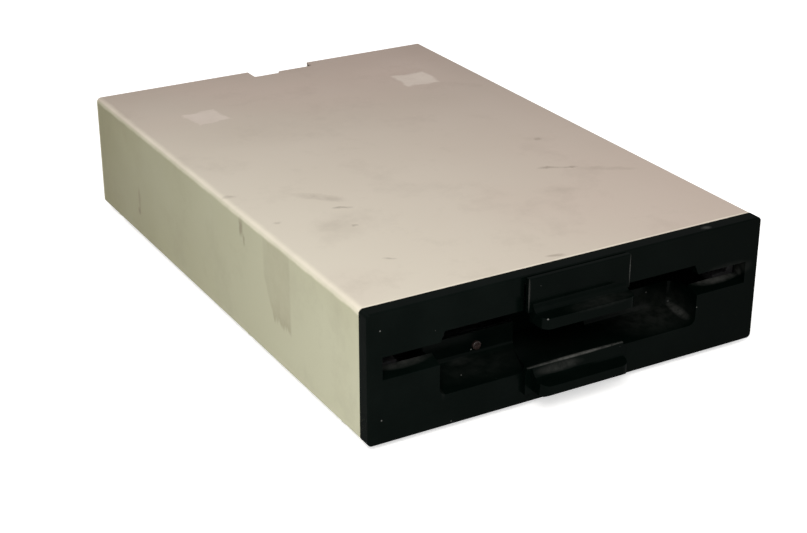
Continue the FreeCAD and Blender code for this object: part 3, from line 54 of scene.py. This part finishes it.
def metres(*sizes):    # from millimetres
    return tuple(size / 1000 for size in sizes)


def fromJoint(near, far):    # two distances back from the joint as places along y
    return jointY + near, jointY + far


# camera, floor and lamps

shot = {
    "place": (-0.281785, -0.494168, 0.263277), "round": -29.638, "down": 24.623, "roll": -0.054,
    "lens": 74.26, "sensor": 36, "nearest": 0.01,
}    # round, down and roll in degrees, lens and sensor in millimetres


def placeCamera():
    camera = bpy.data.objects.new("camera", bpy.data.cameras.new("camera"))
    camera.data.lens = shot["lens"]
    camera.data.sensor_width = shot["sensor"]
    camera.data.sensor_fit = "HORIZONTAL"
    camera.data.clip_start = shot["nearest"]
    turn = Matrix.Rotation(math.radians(shot["round"]), 4, "Z")
    tilt = Matrix.Rotation(math.radians(90 - shot["down"]), 4, "X")
    roll = Matrix.Rotation(math.radians(shot["roll"]), 4, "Z")
    camera.matrix_world = Matrix.Translation(shot["place"]) @ turn @ tilt @ roll
    bpy.context.collection.objects.link(camera)
    bpy.context.scene.camera = camera


lamps = {
    "key": {"place": (-0.52, -0.80, 0.76), "size": 0.5, "power": 8.4, "colour": (1.0, 0.985, 0.96)},
    "fill": {"place": (0.6, -0.9, 1.2), "size": 1.0, "power": 1.2, "colour": (1.0, 0.97, 0.96)},
    "back": {"place": (-0.5, 1.2, 1.0), "size": 1.2, "power": 3.4, "colour": (0.97, 0.98, 1.0)},
}


def placeLamps():
    for name, lamp in lamps.items():
        light = bpy.data.lights.new(name, "AREA")
        light.size = lamp["size"]
        light.energy = lamp["power"]
        light.color = lamp["colour"]
        thing = bpy.data.objects.new(name, light)
        thing.location = lamp["place"]
        thing.rotation_euler = (-Vector(lamp["place"])).to_track_quat("-Z", "Y").to_euler()
        bpy.context.collection.objects.link(thing)


# node helpers

def put(tree, kind, settings=None, **sockets):    # a node, its settings, and values or links for its sockets
    node = tree.nodes.new("ShaderNode" + kind)
    for name, value in (settings or {}).items():
        setattr(node, name, value)
    for name, value in sockets.items():
        feed(tree, node.inputs[name.replace("_", " ")], value)
    return node


def feed(tree, socket, value):
    if isinstance(value, bpy.types.NodeSocket):
        tree.links.new(value, socket)
    else:
        socket.default_value = value


def maths(tree, operation, first, second=0.0):
    node = put(tree, "Math", {"operation": operation})
    feed(tree, node.inputs[0], first)
    feed(tree, node.inputs[1], second)
    return node.outputs[0]


def times(tree, first, *others):
    for other in others:
        first = maths(tree, "MULTIPLY", first, other)
    return first


def axes(tree, where):    # x, y and z of a vector
    parts = put(tree, "SeparateXYZ", Vector=where)
    return parts.outputs[0], parts.outputs[1], parts.outputs[2]


def spread(tree, value, low, high, start=0.0, end=1.0):    # low..high becomes start..end, held at both ends
    node = put(tree, "MapRange", {"clamp": True})
    for socket, number in zip(node.inputs, (value, low, high, start, end)):
        feed(tree, socket, number)
    return node.outputs[0]


def mixed(tree, share, first, second):    # 6, 7 and 2 are the Mix node's colour sockets
    node = put(tree, "Mix", {"data_type": "RGBA"})
    feed(tree, node.inputs[0], share)
    feed(tree, node.inputs[6], first)
    feed(tree, node.inputs[7], second)
    return node.outputs[2]


def noise(tree, where, scale, detail=3.0, rough=0.5):
    node = put(tree, "TexNoise", Vector=where, Scale=scale, Detail=detail, Roughness=rough)
    return node.outputs["Fac"]


def bump(tree, height, distance, strength=1.0):
    return put(tree, "Bump", Height=height, Distance=distance, Strength=strength).outputs["Normal"]


def newFinish(name):
    material = bpy.data.materials.new(name)
    material.use_nodes = True
    tree = material.node_tree
    shader = tree.nodes["Principled BSDF"]
    where = put(tree, "TexCoord").outputs["Object"]
    return material, tree, shader, where


def centred(tree, where, centre, reach, turn=0.0):    # coordinates that run -1..1 over a patch round a point
    node = put(tree, "Mapping", {"vector_type": "TEXTURE"}, Vector=where, Location=centre, Scale=reach,
               Rotation=(0, 0, math.radians(turn)))
    return node.outputs[0]


def softSpot(tree, where, centre, reach, turn=0.0):    # 1 in the middle of an oval patch, 0 at its edge
    local = centred(tree, where, centre, reach, turn)
    return put(tree, "TexGradient", {"gradient_type": "SPHERICAL"}, Vector=local).outputs["Fac"]


def squarePatch(tree, where, centre, reach, turn, blur):    # 1 on a square patch, 0 outside it
    x, y, z = axes(tree, centred(tree, where, centre, reach, turn))
    widest = maths(tree, "MAXIMUM", maths(tree, "ABSOLUTE", x), maths(tree, "ABSOLUTE", y))
    level = maths(tree, "LESS_THAN", maths(tree, "ABSOLUTE", z), 1.0)
    return times(tree, spread(tree, widest, 1.0 - blur, 1.0 + blur, 1.0, 0.0), level)


def shaken(tree, where, scale, by):    # coordinates pushed about by noise, half of by on average
    push = put(tree, "TexNoise", Vector=where, Scale=scale, Detail=3)
    node = put(tree, "VectorMath", {"operation": "MULTIPLY_ADD"})
    for socket, value in zip(node.inputs, (push.outputs["Color"], (by, by, by), where)):
        feed(tree, socket, value)
    return node.outputs[0]


def rgb(red, green, blue):    # screen values 0..255 to the linear ones that nodes take
    levels = []
    for level in (red, green, blue):
        share = level / 255
        levels.append(share / 12.92 if share <= 0.04045 else ((share + 0.055) / 1.055) ** 2.4)
    return (*levels, 1.0)


def straightRays(tree):    # 1 for rays that show a thing itself, 0 for those that light others
    path = put(tree, "LightPath")
    mirrored = maths(tree, "MAXIMUM", path.outputs["Is Glossy Ray"], path.outputs["Is Transmission Ray"])
    return maths(tree, "MAXIMUM", path.outputs["Is Camera Ray"], mirrored)


# floor and sky

floorLook = {"size": 12, "white": 0.86, "rough": 0.9, "lift": 0.57}


def layFloor():
    bpy.ops.mesh.primitive_plane_add(size=floorLook["size"])
    floor = bpy.context.object
    floor.name = "floor"
    material, tree, shader = newFinish("floorWhite")[:3]
    shader.inputs["Base Color"].default_value = (*[floorLook["white"]] * 3, 1)
    shader.inputs["Roughness"].default_value = floorLook["rough"]
    shader.inputs["Specular IOR Level"].default_value = 0.0
    lift = times(tree, straightRays(tree), floorLook["lift"])
    glow = put(tree, "Emission", Color=(1, 1, 1, 1), Strength=lift)
    both = put(tree, "AddShader")
    tree.links.new(shader.outputs[0], both.inputs[0])
    tree.links.new(glow.outputs[0], both.inputs[1])
    tree.links.new(both.outputs[0], tree.nodes["Material Output"].inputs["Surface"])
    floor.data.materials.append(material)


sky = {"level": 0.46, "tint": (1.0, 0.99, 0.975, 1.0)}


def lightSky():
    world = bpy.data.worlds.new("sky")
    bpy.context.scene.world = world
    world.use_nodes = True
    tree = world.node_tree
    plain = put(tree, "Background", Color=sky["tint"], Strength=sky["level"])
    white = put(tree, "Background", Color=(1, 1, 1, 1), Strength=1.0)
    pick = put(tree, "MixShader", Fac=straightRays(tree))
    tree.links.new(plain.outputs[0], pick.inputs[1])
    tree.links.new(white.outputs[0], pick.inputs[2])
    tree.links.new(pick.outputs[0], tree.nodes["World Output"].inputs["Surface"])


bpy.context.scene.view_settings.view_transform = "Standard"
placeCamera()
placeLamps()
layFloor()
lightSky()
print("camera, lamps and floor are in place")


# finishes

paint = {
    # roof and side colours: darker towards the back and the right partly as painted shade, the sides' olive
    # green partly a painted reflection
    "frontLeft": rgb(221, 213, 197), "frontRight": rgb(193, 178, 166),
    "rearLeft": rgb(176, 162, 150), "rearRight": rgb(157, 141, 130),
    "sideFront": rgb(199, 198, 172), "sideRear": rgb(137, 133, 105),
    "blush": rgb(198, 176, 166), "olive": rgb(176, 172, 140), "dirt": rgb(112, 96, 80),
    # the last colour on the next line: pale worn paint that also paints a highlight on the lit left fold and
    # the roof's front edge
    "ghost": rgb(204, 191, 180), "stain": rgb(134, 120, 96), "rubbedAndLit": rgb(244, 236, 216),
    "backWall": rgb(184, 178, 155), "inner": rgb(74, 72, 64),
    # how the painted shade on the roof deepens towards the back
    "shadeFalloff": 1.8,
    "ghosts": [{"x": -46, "y": 178.4, "reach": 6.6, "turn": 6},
               {"x": 48, "y": 179, "reach": 7.4, "turn": -4}],
    "marks": [(-45.5, 83.5, 12, 3.4, -46, 0.26), (-42.3, 71.5, 4, 1.3, -21, 0.5),
              (-50, 58, 15, 12, 40, 0.1), (-72, 99, 2.6, 1.4, -30, 0.35),
              (-67.6, 70.5, 2, 1.2, 0, 0.3), (-49.3, 27, 2.4, 1.0, -35, 0.4),
              (-46, 56.3, 1.4, 1.3, 0, 0.4), (41, 66.8, 7.5, 1.4, -25, 0.5),
              (46.2, 64.4, 2.2, 1.7, -25, 0.5), (57, 57, 12, 2.6, -32, 0.2),
              (52, 94.3, 2.2, 1.5, 30, 0.45), (30, 48, 10, 5, -20, 0.1),
              (-2.6, 2.8, 4, 1.4, -10, 0.4), (-20, 150, 45, 20, -10, 0.05)],
    "smears": [(84, 40, 2.0, 4.5, 0.5), (82, 36, 1.2, 3.0, 0.4),
               (180, 16, 1.6, 6.0, 0.35), (180.5, 11, 1.6, 2.2, 0.5)],
    "drip": {"y": 56.8, "z": 29.5, "thick": 4, "halfWidth": 10.0, "fall": 14.2},
}    # marks on the roof: x, y, reaches, turn, strength; smears on the left side: y, z, reaches, strength

paintEdges = {
    "side": (0.0744, 0.0749), "underRoof": (0.0462, 0.0452), "backWall": (0.2203, 0.2208),
    "foldAcross": (-0.0719, -0.0736), "foldUp": (0.0453, 0.0462),
    "leadBack": (0.0009, 0.0018), "leadUp": (0.0458, 0.0467),
    "innerAcross": (0.0743, 0.0741), "innerBack": (0.2211, 0.2207),
    "innerTop": (0.0464, 0.0462), "innerFloor": (0.0025, 0.0028),
}    # metres between which one paint fades into the next, those along y counted from the joint

raggedBy = 0.004    # metres by which the marks' outlines are shaken
pushed = 2    # millimetres that this moves a mark on average, made up for in its place


def dripStain(tree, where, blotch):    # a dried run down the left side, ragged and darker at its lower end
    drip = paint["drip"]
    reach = metres(drip["thick"], drip["halfWidth"], drip["fall"])
    x, y, z = axes(tree, centred(tree, where, at(-sideX, drip["y"], drip["z"]), reach))
    drawn = put(tree, "Mapping", Vector=where, Scale=(0, 1, 0.12)).outputs[0]
    streaks = noise(tree, drawn, 260, 3, 0.6)
    below = maths(tree, "SUBTRACT", times(tree, z, -1.0), times(tree, streaks, 0.7))
    rear = maths(tree, "ADD", y, spread(tree, below, -0.3, 0.6, 0.0, 0.7))
    inside = times(tree, spread(tree, rear, 0.88, 1.02, 1.0, 0.0), spread(tree, y, -1.06, -0.94),
                   spread(tree, below, 0.52, 0.66, 1.0, 0.0),
                   maths(tree, "LESS_THAN", maths(tree, "ABSOLUTE", x), 1.0))
    lowest = times(tree, spread(tree, z, 0.92, 1.0, 1.0, 0.0), spread(tree, below, 0.0, 0.5, 0.2, 0.42))
    return times(tree, inside, lowest, spread(tree, blotch, 0.3, 0.6, 0.6, 1.1))


def rubbedAndLitEdges(tree, where):    # paint rubbed pale, and a painted highlight, along the lit left fold and the front edge of the roof, less towards the back
    x, y, z = axes(tree, shaken(tree, where, 130, 0.0011))
    fold = times(tree, spread(tree, x, *paintEdges["foldAcross"]), spread(tree, z, *paintEdges["foldUp"]))
    lead = times(tree, spread(tree, y, *fromJoint(*paintEdges["leadBack"]), 1.0, 0.0),
                 spread(tree, z, *paintEdges["leadUp"]))
    uneven = times(tree, spread(tree, noise(tree, where, 60, 4, 0.6), 0.3, 0.65, 0.4, 0.65),
                   spread(tree, y, *fromJoint(0, caseDepth), 1.0, 0.45))
    return times(tree, maths(tree, "MAXIMUM", fold, lead), uneven)


def cleanPaint(tree, where):    # the colours of roof, sides and back wall; their darkening towards the back and the right is partly painted shade, and the sides' green tint partly a painted reflection
    x, y, z = axes(tree, where)
    alongY = spread(tree, y, *fromJoint(0, caseDepth))
    alongX = spread(tree, x, *metres(-sideX, sideX))
    top = mixed(tree, maths(tree, "POWER", alongY, paint["shadeFalloff"]),
                mixed(tree, alongX, paint["frontLeft"], paint["frontRight"]),
                mixed(tree, alongX, paint["rearLeft"], paint["rearRight"]))
    top = mixed(tree, spread(tree, noise(tree, where, 9, 3), 0.5, 0.78, 0, 0.35), top, paint["blush"])
    side = mixed(tree, alongY, paint["sideFront"], paint["sideRear"])
    side = mixed(tree, spread(tree, noise(tree, where, 16, 4), 0.5, 0.75, 0, 0.35), side, paint["olive"])
    side = mixed(tree, spread(tree, y, *fromJoint(*paintEdges["backWall"])), side, paint["backWall"])
    onSide = maths(tree, "MAXIMUM", spread(tree, maths(tree, "ABSOLUTE", x), *paintEdges["side"]),
                   spread(tree, z, *paintEdges["underRoof"]))
    return mixed(tree, onSide, top, side)


def stained(tree, where, colour):    # pale squares, marks and the drip over the paint
    ragged = shaken(tree, where, 210, raggedBy)
    for ghost in paint["ghosts"]:
        place = at(ghost["x"] + pushed, ghost["y"] + pushed, roofZ + pushed)
        reach = metres(ghost["reach"], ghost["reach"], 3)
        patch = squarePatch(tree, ragged, place, reach, ghost["turn"], 0.1)
        patchy = spread(tree, noise(tree, where, 150, 2), 0.3, 0.6, 0.7, 0.95)
        colour = mixed(tree, times(tree, patch, patchy), colour, paint["ghost"])
    blotch = noise(tree, where, 140, 5, 0.65)
    for x, y, long, wide, turn, strength in paint["marks"]:
        spot = softSpot(tree, ragged, at(x + pushed, y + pushed, roofZ + pushed), metres(long, wide, 6), turn)
        share = times(tree, spread(tree, spot, 0.0, 0.6),
                      spread(tree, blotch, 0.34, 0.6, 0.2 * strength, strength))
        colour = mixed(tree, share, colour, paint["dirt"])
    for y, z, deep, high, strength in paint["smears"]:
        spot = softSpot(tree, ragged, at(-sideX + pushed, y + pushed, z + pushed), metres(4, deep, high))
        colour = mixed(tree, spread(tree, spot, 0.0, 0.7, 0.0, strength), colour, paint["dirt"])
    return mixed(tree, dripStain(tree, where, blotch), colour, paint["stain"])


def insideCase(tree, where):    # 1 on the sheets' inner faces, where painted shade goes
    x, y, z = axes(tree, where)
    return times(tree, spread(tree, maths(tree, "ABSOLUTE", x), *paintEdges["innerAcross"]),
                 spread(tree, y, *fromJoint(*paintEdges["innerBack"])),
                 spread(tree, z, *paintEdges["innerTop"]), spread(tree, z, *paintEdges["innerFloor"]))


def casePaint():
    material, tree, shader, where = newFinish("casePaint")
    # pale worn paint and a painted highlight along the left fold and the roof's front edge
    colour = mixed(tree, rubbedAndLitEdges(tree, where), cleanPaint(tree, where), paint["rubbedAndLit"])
    colour = stained(tree, where, colour)
    # painted shade on the case's inner faces
    colour = mixed(tree, insideCase(tree, where), colour, paint["inner"])
    grime = spread(tree, noise(tree, where, 38, 6, 0.7), 0.52, 0.8, 0, 0.18)
    colour = mixed(tree, grime, colour, paint["dirt"])
    tree.links.new(colour, shader.inputs["Base Color"])
    tree.links.new(spread(tree, noise(tree, where, 24, 4), 0.3, 0.7, 0.55, 0.7),
                   shader.inputs["Roughness"])
    shader.inputs["Specular IOR Level"].default_value = 0.2
    skin = maths(tree, "ADD", noise(tree, where, 900, 2), times(tree, noise(tree, where, 190, 2), 0.6))
    tree.links.new(bump(tree, skin, 0.00006, 0.5), shader.inputs["Normal"])
    return material


def specks(tree, where, scale, size, share):    # small dots in a few cells only
    cells = put(tree, "TexVoronoi", Vector=where, Scale=scale)
    chosen = put(tree, "SeparateColor")
    tree.links.new(cells.outputs["Color"], chosen.inputs[0])
    dot = maths(tree, "LESS_THAN", cells.outputs["Distance"], size)
    return times(tree, dot, maths(tree, "LESS_THAN", chosen.outputs[0], share))


black = {
    "base": (0.0011, 0.0028, 0.0021, 1), "haze": (0.0032, 0.0056, 0.0046, 1),
    # the next line's first colour is painted shade for the moulding's right-hand end
    "right": (0.0003, 0.0013, 0.0008, 1), "dustAndSheen": (0.34, 0.34, 0.32, 1),
    "coat": 0.05, "coatRough": 0.16,
    "specks": [(-70.5, -5, 38.8, 0.34), (-20, -5, 29.9, 0.3), (-16, -7, 34.2, 0.3), (-13.5, -8, 33.6, 0.28),
               (-38, 1.5, 12.3, 0.32), (-29.8, 9, 15.9, 0.36), (-14, 9, 14.5, 0.36), (50, -5, 17.5, 0.28),
               (-70.2, -5, 8.3, 0.34), (17.4, -7, 11.9, 0.28), (-16.2, -13.6, 33, 0.42),
               (-12, -9, 9.6, 0.36)],
    # patches on the lip crest, flap seams and recess corner are partly painted highlights; those inside the
    # recess and slots partly painted light lifting the shade
    "patchy": [(0, -6.9, 13.4, 24, 1.3, 0.6, 0.3), (-7, -7.5, 11.6, 10, 2.4, 1.6, 0.07),
             (-19.3, -7.3, 39.5, 0.4, 0.5, 7, 0.2), (19.3, -7.3, 39.5, 0.4, 0.5, 6, 0.3),
             (48.6, 4, 13, 2.2, 8, 2.2, 0.1), (-34, 7.5, 13.4, 7, 2.6, 1.4, 0.03),
             (53, -3, 44.8, 2.4, 1.5, 1, 0.12), (-60, -0.8, 25.4, 13, 3.9, 3, 0.14),
             (5, -11.5, 33, 15, 4, 1.2, 0.03), (-48.4, -2, 17, 1.2, 9, 9, 0.035),
             (-22, 2, 10.4, 22, 4, 1.4, 0.02), (38, 4, 15, 20, 12, 7, 0.03),
             (62, -1, 28, 14, 8, 4, 0.05), (61, -0.8, 25.4, 13, 3.9, 3, 0.2),
             (-30, 4, 12, 24, 8, 3, 0.015)],
}    # specks: place and size; the patches: place, reach and strength of spots that are partly dust and rubbed gloss, partly painted highlights on edges and painted light lifting the shade in the recess and slots


def blackDustAndSheen(tree, where):    # fine dots and single specks of dust, and patches that are partly rubbed dust, partly painted highlight and painted light in the shade
    dustAndSheen = times(tree, specks(tree, where, 330, 0.09, 0.035), 0.3)
    for x, y, z, size in black["specks"]:
        spot = softSpot(tree, where, at(x, y, z), metres(size, size, size))
        dustAndSheen = maths(tree, "MAXIMUM", dustAndSheen, spread(tree, spot, 0.1, 0.7, 0.0, 0.6))
    mottle = spread(tree, noise(tree, where, 330, 4, 0.65), 0.36, 0.62, 0.4, 1.15)
    for x, y, z, along, deep, high, strength in black["patchy"]:
        rubbedAndLit = softSpot(tree, where, at(x, y, z), metres(along, deep, high))
        rubbedAndLit = times(tree, spread(tree, rubbedAndLit, 0.0, 0.6, 0.0, strength), mottle)
        dustAndSheen = maths(tree, "MAXIMUM", dustAndSheen, rubbedAndLit)
    return dustAndSheen


def glossBlack():
    material, tree, shader, where = newFinish("glossBlack")
    haze = spread(tree, noise(tree, where, 45, 5, 0.6), 0.42, 0.8)
    # painted shade: the moulding darker towards the right
    rightShade = spread(tree, axes(tree, where)[0], -0.06, 0.075, 0.0, 0.85)
    colour = mixed(tree, haze, black["base"], black["haze"])
    colour = mixed(tree, rightShade, colour, black["right"])
    # dust, with painted highlights and painted light in the shade mixed in
    colour = mixed(tree, times(tree, blackDustAndSheen(tree, where), 0.8), colour, black["dustAndSheen"])
    tree.links.new(colour, shader.inputs["Base Color"])
    tree.links.new(spread(tree, haze, 0, 1, 0.2, 0.36), shader.inputs["Roughness"])
    shader.inputs["Specular IOR Level"].default_value = 0.0
    shader.inputs["Coat Weight"].default_value = black["coat"]
    shader.inputs["Coat Roughness"].default_value = black["coatRough"]
    tree.links.new(bump(tree, noise(tree, where, 420, 3), 0.00003, 0.4), shader.inputs["Normal"])
    return material


def plastic(name, colour, rough, grain):
    material, tree, shader, where = newFinish(name)
    patch = spread(tree, noise(tree, where, 60, 4), 0.3, 0.75)
    darker = tuple(level * 0.82 for level in colour[:3]) + (1,)
    tree.links.new(mixed(tree, patch, colour, darker), shader.inputs["Base Color"])
    tree.links.new(spread(tree, noise(tree, where, 130, 3), 0.3, 0.7, rough - 0.06, rough + 0.08),
                   shader.inputs["Roughness"])
    shader.inputs["Specular IOR Level"].default_value = 0.4
    tree.links.new(bump(tree, noise(tree, where, grain, 2), 0.00004, 0.5), shader.inputs["Normal"])
    return material


frontShade = {"colour": (0.004, 0.006, 0.005, 1), "reach": (0.028, 0.04)}    # painted shade on the casting just behind the front, where little light reaches; reach: where it ends, from the joint


def metal(name, colour, rough, grain, stretch=(1, 1, 1), frontShadeShare=0.0):    # last argument: how deep the painted shade is just behind the front
    material, tree, shader, where = newFinish(name)
    pulled = put(tree, "Mapping", Vector=where, Scale=stretch).outputs[0]
    marks = noise(tree, pulled, grain, 5, 0.6)
    darker = tuple(level * 0.72 for level in colour[:3]) + (1,)
    tint = mixed(tree, spread(tree, marks, 0.35, 0.75), colour, darker)
    if frontShadeShare:
        # painted shade on the casting behind the front
        share = spread(tree, axes(tree, where)[1], *fromJoint(*frontShade["reach"]), frontShadeShare, 0.0)
        tint = mixed(tree, share, tint, frontShade["colour"])
    tree.links.new(tint, shader.inputs["Base Color"])
    tree.links.new(spread(tree, marks, 0.3, 0.7, rough - 0.08, rough + 0.1), shader.inputs["Roughness"])
    shader.inputs["Metallic"].default_value = 1.0
    tree.links.new(bump(tree, marks, 0.00004, 0.5), shader.inputs["Normal"])
    return material


boardLook = {
    "odd": (0.012, 0.075, 0.03, 1), "even": (0.018, 0.1, 0.04, 1), "track": (0.035, 0.16, 0.06, 1),
    "trackWidth": 0.06, "pad": (0.5, 0.48, 0.42, 1),
}


def circuitBoard():
    material, tree, shader, where = newFinish("circuitBoard")
    tracks = put(tree, "TexBrick", Vector=where, Scale=120, Color1=boardLook["odd"], Color2=boardLook["even"],
                 Mortar=boardLook["track"])
    tracks.inputs["Mortar Size"].default_value = boardLook["trackWidth"]
    pads = specks(tree, where, 330, 0.22, 0.25)
    tree.links.new(mixed(tree, pads, tracks.outputs["Color"], boardLook["pad"]), shader.inputs["Base Color"])
    tree.links.new(spread(tree, noise(tree, where, 80, 3), 0.3, 0.7, 0.25, 0.4), shader.inputs["Roughness"])
    tree.links.new(bump(tree, tracks.outputs["Fac"], 0.00005, 0.5), shader.inputs["Normal"])
    return material


copperLook = {"groove": (0.55, 0.22, 0.09, 1), "crest": (0.8, 0.4, 0.2, 1)}


def woundCopper():
    material, tree, shader, where = newFinish("woundCopper")
    turns = put(tree, "TexWave", {"wave_type": "RINGS", "rings_direction": "Z"}, Vector=where, Scale=260)
    turns.inputs["Distortion"].default_value = 0.4
    tree.links.new(mixed(tree, turns.outputs["Fac"], copperLook["groove"], copperLook["crest"]),
                   shader.inputs["Base Color"])
    tree.links.new(spread(tree, turns.outputs["Fac"], 0, 1, 0.3, 0.45), shader.inputs["Roughness"])
    shader.inputs["Metallic"].default_value = 0.9
    tree.links.new(bump(tree, turns.outputs["Fac"], 0.0001, 0.6), shader.inputs["Normal"])
    return material


lampLook = {
    "middle": (-28, 8, 17.2), "dark": (0.016, 0.010, 0.009, 1), "rib": (0.034, 0.022, 0.020, 1), "coat": 0.25,
}


def lampLens():    # dark red with fine rings round its middle
    material, tree, shader, where = newFinish("lampLens")
    local = centred(tree, where, at(*lampLook["middle"]), metres(1, 1, 1))
    ribs = put(tree, "TexWave", {"wave_type": "RINGS", "rings_direction": "Y"}, Vector=local, Scale=1.2)
    tree.links.new(mixed(tree, ribs.outputs["Fac"], lampLook["dark"], lampLook["rib"]),
                   shader.inputs["Base Color"])
    tree.links.new(spread(tree, noise(tree, where, 300, 2), 0.3, 0.7, 0.12, 0.25), shader.inputs["Roughness"])
    shader.inputs["Coat Weight"].default_value = lampLook["coat"]
    return material


finishes = {
    "case_paint": casePaint(),
    "bezel_black": glossBlack(),
    "feet_rubber": plastic("feetRubber", (0.022, 0.021, 0.02, 1), 0.72, 700),
    "screw_steel": metal("zincScrew", (0.62, 0.61, 0.58, 1), 0.34, 400),
    "spring_steel": metal("springSteel", (0.36, 0.36, 0.37, 1), 0.32, 500),
    "cast_aluminium": metal("castAluminium", (0.6, 0.6, 0.6, 1), 0.5, 260, frontShadeShare=0.96),
    "ground_steel": metal("groundSteel", (0.66, 0.67, 0.68, 1), 0.22, 220, (1, 1, 6)),
    "black_plastic": plastic("blackPlastic", (0.02, 0.02, 0.021, 1), 0.5, 420),
    "white_plastic": plastic("whitePlastic", (0.7, 0.68, 0.62, 1), 0.45, 420),
    "grey_plastic": plastic("greyPlastic", (0.2, 0.205, 0.21, 1), 0.5, 420),
    "board": circuitBoard(),
    "copper": woundCopper(),
    "magnet": metal("sinteredMagnet", (0.16, 0.16, 0.17, 1), 0.55, 500),
    "ceramic": plastic("headCeramic", (0.1, 0.09, 0.085, 1), 0.22, 300),
    "lamp_red": lampLens(),
    "gold_pins": metal("goldPins", (0.85, 0.62, 0.24, 1), 0.24, 500),
}


def dressNodes():
    slots = {part["node"]: part["material_slot"] for part in frame["record"]["subparts"]}
    for name, thing in nodes.items():
        for slot in thing.material_slots:
            slot.material = finishes[slots[name]]
    print("finishes on", len(nodes), "solids")


dressNodes()


# modelling helpers

merging = {"distance": 0.000002, "flat": 0.6, "smooth": 35}    # metres, degrees, degrees


def deselectAll():
    if bpy.context.object and bpy.context.object.mode != "OBJECT":
        bpy.ops.object.mode_set(mode="OBJECT")
    bpy.ops.object.select_all(action="DESELECT")


def activate(thing):
    deselectAll()
    thing.select_set(True)
    bpy.context.view_layer.objects.active = thing


def mergedCopy(node, name):    # the solid as one closed mesh with whole flat faces
    thing = bpy.data.objects.new(name, nodes[node].data.copy())
    bpy.context.collection.objects.link(thing)
    activate(thing)
    bpy.ops.object.mode_set(mode="EDIT")
    bpy.ops.mesh.select_all(action="SELECT")
    bpy.ops.mesh.remove_doubles(threshold=merging["distance"])
    bpy.ops.mesh.dissolve_limited(angle_limit=math.radians(merging["flat"]))
    bpy.ops.object.mode_set(mode="OBJECT")
    if thing.data.has_custom_normals:
        bpy.ops.mesh.customdata_custom_splitnormals_clear()
    return thing


def smoothFaces(thing):    # rounds look round and wide flat faces stay flat
    activate(thing)
    bpy.ops.object.shade_smooth_by_angle(angle=math.radians(merging["smooth"]))
    even = thing.modifiers.new("even", "WEIGHTED_NORMAL")
    even.mode = "FACE_AREA"
    even.weight = 100
    even.keep_sharp = True
    bpy.ops.object.modifier_apply(modifier="even")


def softenEdges(thing, width, segments=2, angle=32):
    activate(thing)
    soft = thing.modifiers.new("soft", "BEVEL")
    soft.width = width
    soft.segments = segments
    soft.limit_method = "ANGLE"
    soft.angle_limit = math.radians(angle)
    soft.use_clamp_overlap = True
    soft.miter_outer = "MITER_ARC"
    bpy.ops.object.modifier_apply(modifier="soft")
    smoothFaces(thing)


def finishPiece(thing, body, slot, *replaced):
    thing.data.materials.clear()
    thing.data.materials.append(finishes[slot])
    if replaced:
        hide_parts(*replaced)
    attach(thing, body)
    print("made", thing.name, len(thing.data.polygons), "faces")


# front

bezelLook = {"edge": 0.00035, "segments": 2}


def makeBezel():
    bezel = mergedCopy("front_bezel", "bezelMoulding")
    softenEdges(bezel, bezelLook["edge"], bezelLook["segments"])
    finishPiece(bezel, "drive", "bezel_black", "front_bezel")


leverLook = {"edge": 0.0004, "segments": 2}


def makeLever():
    lever = mergedCopy("latch_lever", "leverMoulding")
    softenEdges(lever, leverLook["edge"], leverLook["segments"])
    finishPiece(lever, "lever", "bezel_black", "latch_lever")


feetLook = {"edge": 0.0009, "segments": 3}


def makeFeet():
    feet = mergedCopy("rubber_feet", "rubberFeet")
    softenEdges(feet, feetLook["edge"], feetLook["segments"])
    finishPiece(feet, "drive", "feet_rubber", "rubber_feet")


shellLook = {"edge": 0.0003, "segments": 2, "turn": 40}


def makeCase():    # folded sheet with its cut edges broken
    for node, name in (("case_cover", "caseShell"), ("base_pan", "basePan")):
        sheet = mergedCopy(node, name)
        softenEdges(sheet, shellLook["edge"], shellLook["segments"], shellLook["turn"])
        finishPiece(sheet, "drive", "case_paint", node)


crossLook = {"round": 0.00045, "steps": 3, "long": 0.0032, "wide": 0.0007, "deep": 0.0007}


def cutCross(head):    # two crossed slots up into a head from below
    points = [corner.co for corner in head.data.vertices]
    middle = [(min(point[axis] for point in points) + max(point[axis] for point in points)) / 2
              for axis in (0, 1)]
    low = min(point.z for point in points)
    for turn in (0, 90):
        bpy.ops.mesh.primitive_cube_add(size=1, location=(*middle, low), rotation=(0, 0, math.radians(turn)),
                                        scale=(crossLook["long"], crossLook["wide"], 2 * crossLook["deep"]))
        blade = bpy.context.object
        slotCut = head.modifiers.new("slotCut", "BOOLEAN")
        slotCut.operation = "DIFFERENCE"
        slotCut.solver = "EXACT"
        slotCut.object = blade
        activate(head)
        bpy.ops.object.modifier_apply(modifier="slotCut")
        bpy.data.objects.remove(blade)


def makeScrews():    # pan heads under the case with cross recesses
    for node, name in (("case_screws", "caseScrews"), ("drive_mount_screws", "mountScrews")):
        screws = mergedCopy(node, name)
        softenEdges(screws, crossLook["round"], crossLook["steps"])
        bpy.ops.object.mode_set(mode="EDIT")
        bpy.ops.mesh.select_all(action="SELECT")
        bpy.ops.mesh.separate(type="LOOSE")
        bpy.ops.object.mode_set(mode="OBJECT")
        heads = list(bpy.context.selected_objects)
        for head in heads:
            cutCross(head)
        activate(screws)
        for head in heads:
            head.select_set(True)
        bpy.ops.object.join()
        smoothFaces(screws)
        finishPiece(screws, "drive", "screw_steel", node)


lensLook = {"round": 0.0007, "steps": 4}


def makeLens():    # lamp with a rounded nose
    lens = mergedCopy("in_use_lamp", "lampLens")
    softenEdges(lens, lensLook["round"], lensLook["steps"])
    finishPiece(lens, "drive", "lamp_red", "in_use_lamp")


makeBezel()
makeLever()
makeFeet()
makeCase()
makeScrews()
makeLens()

print("all pieces are made")
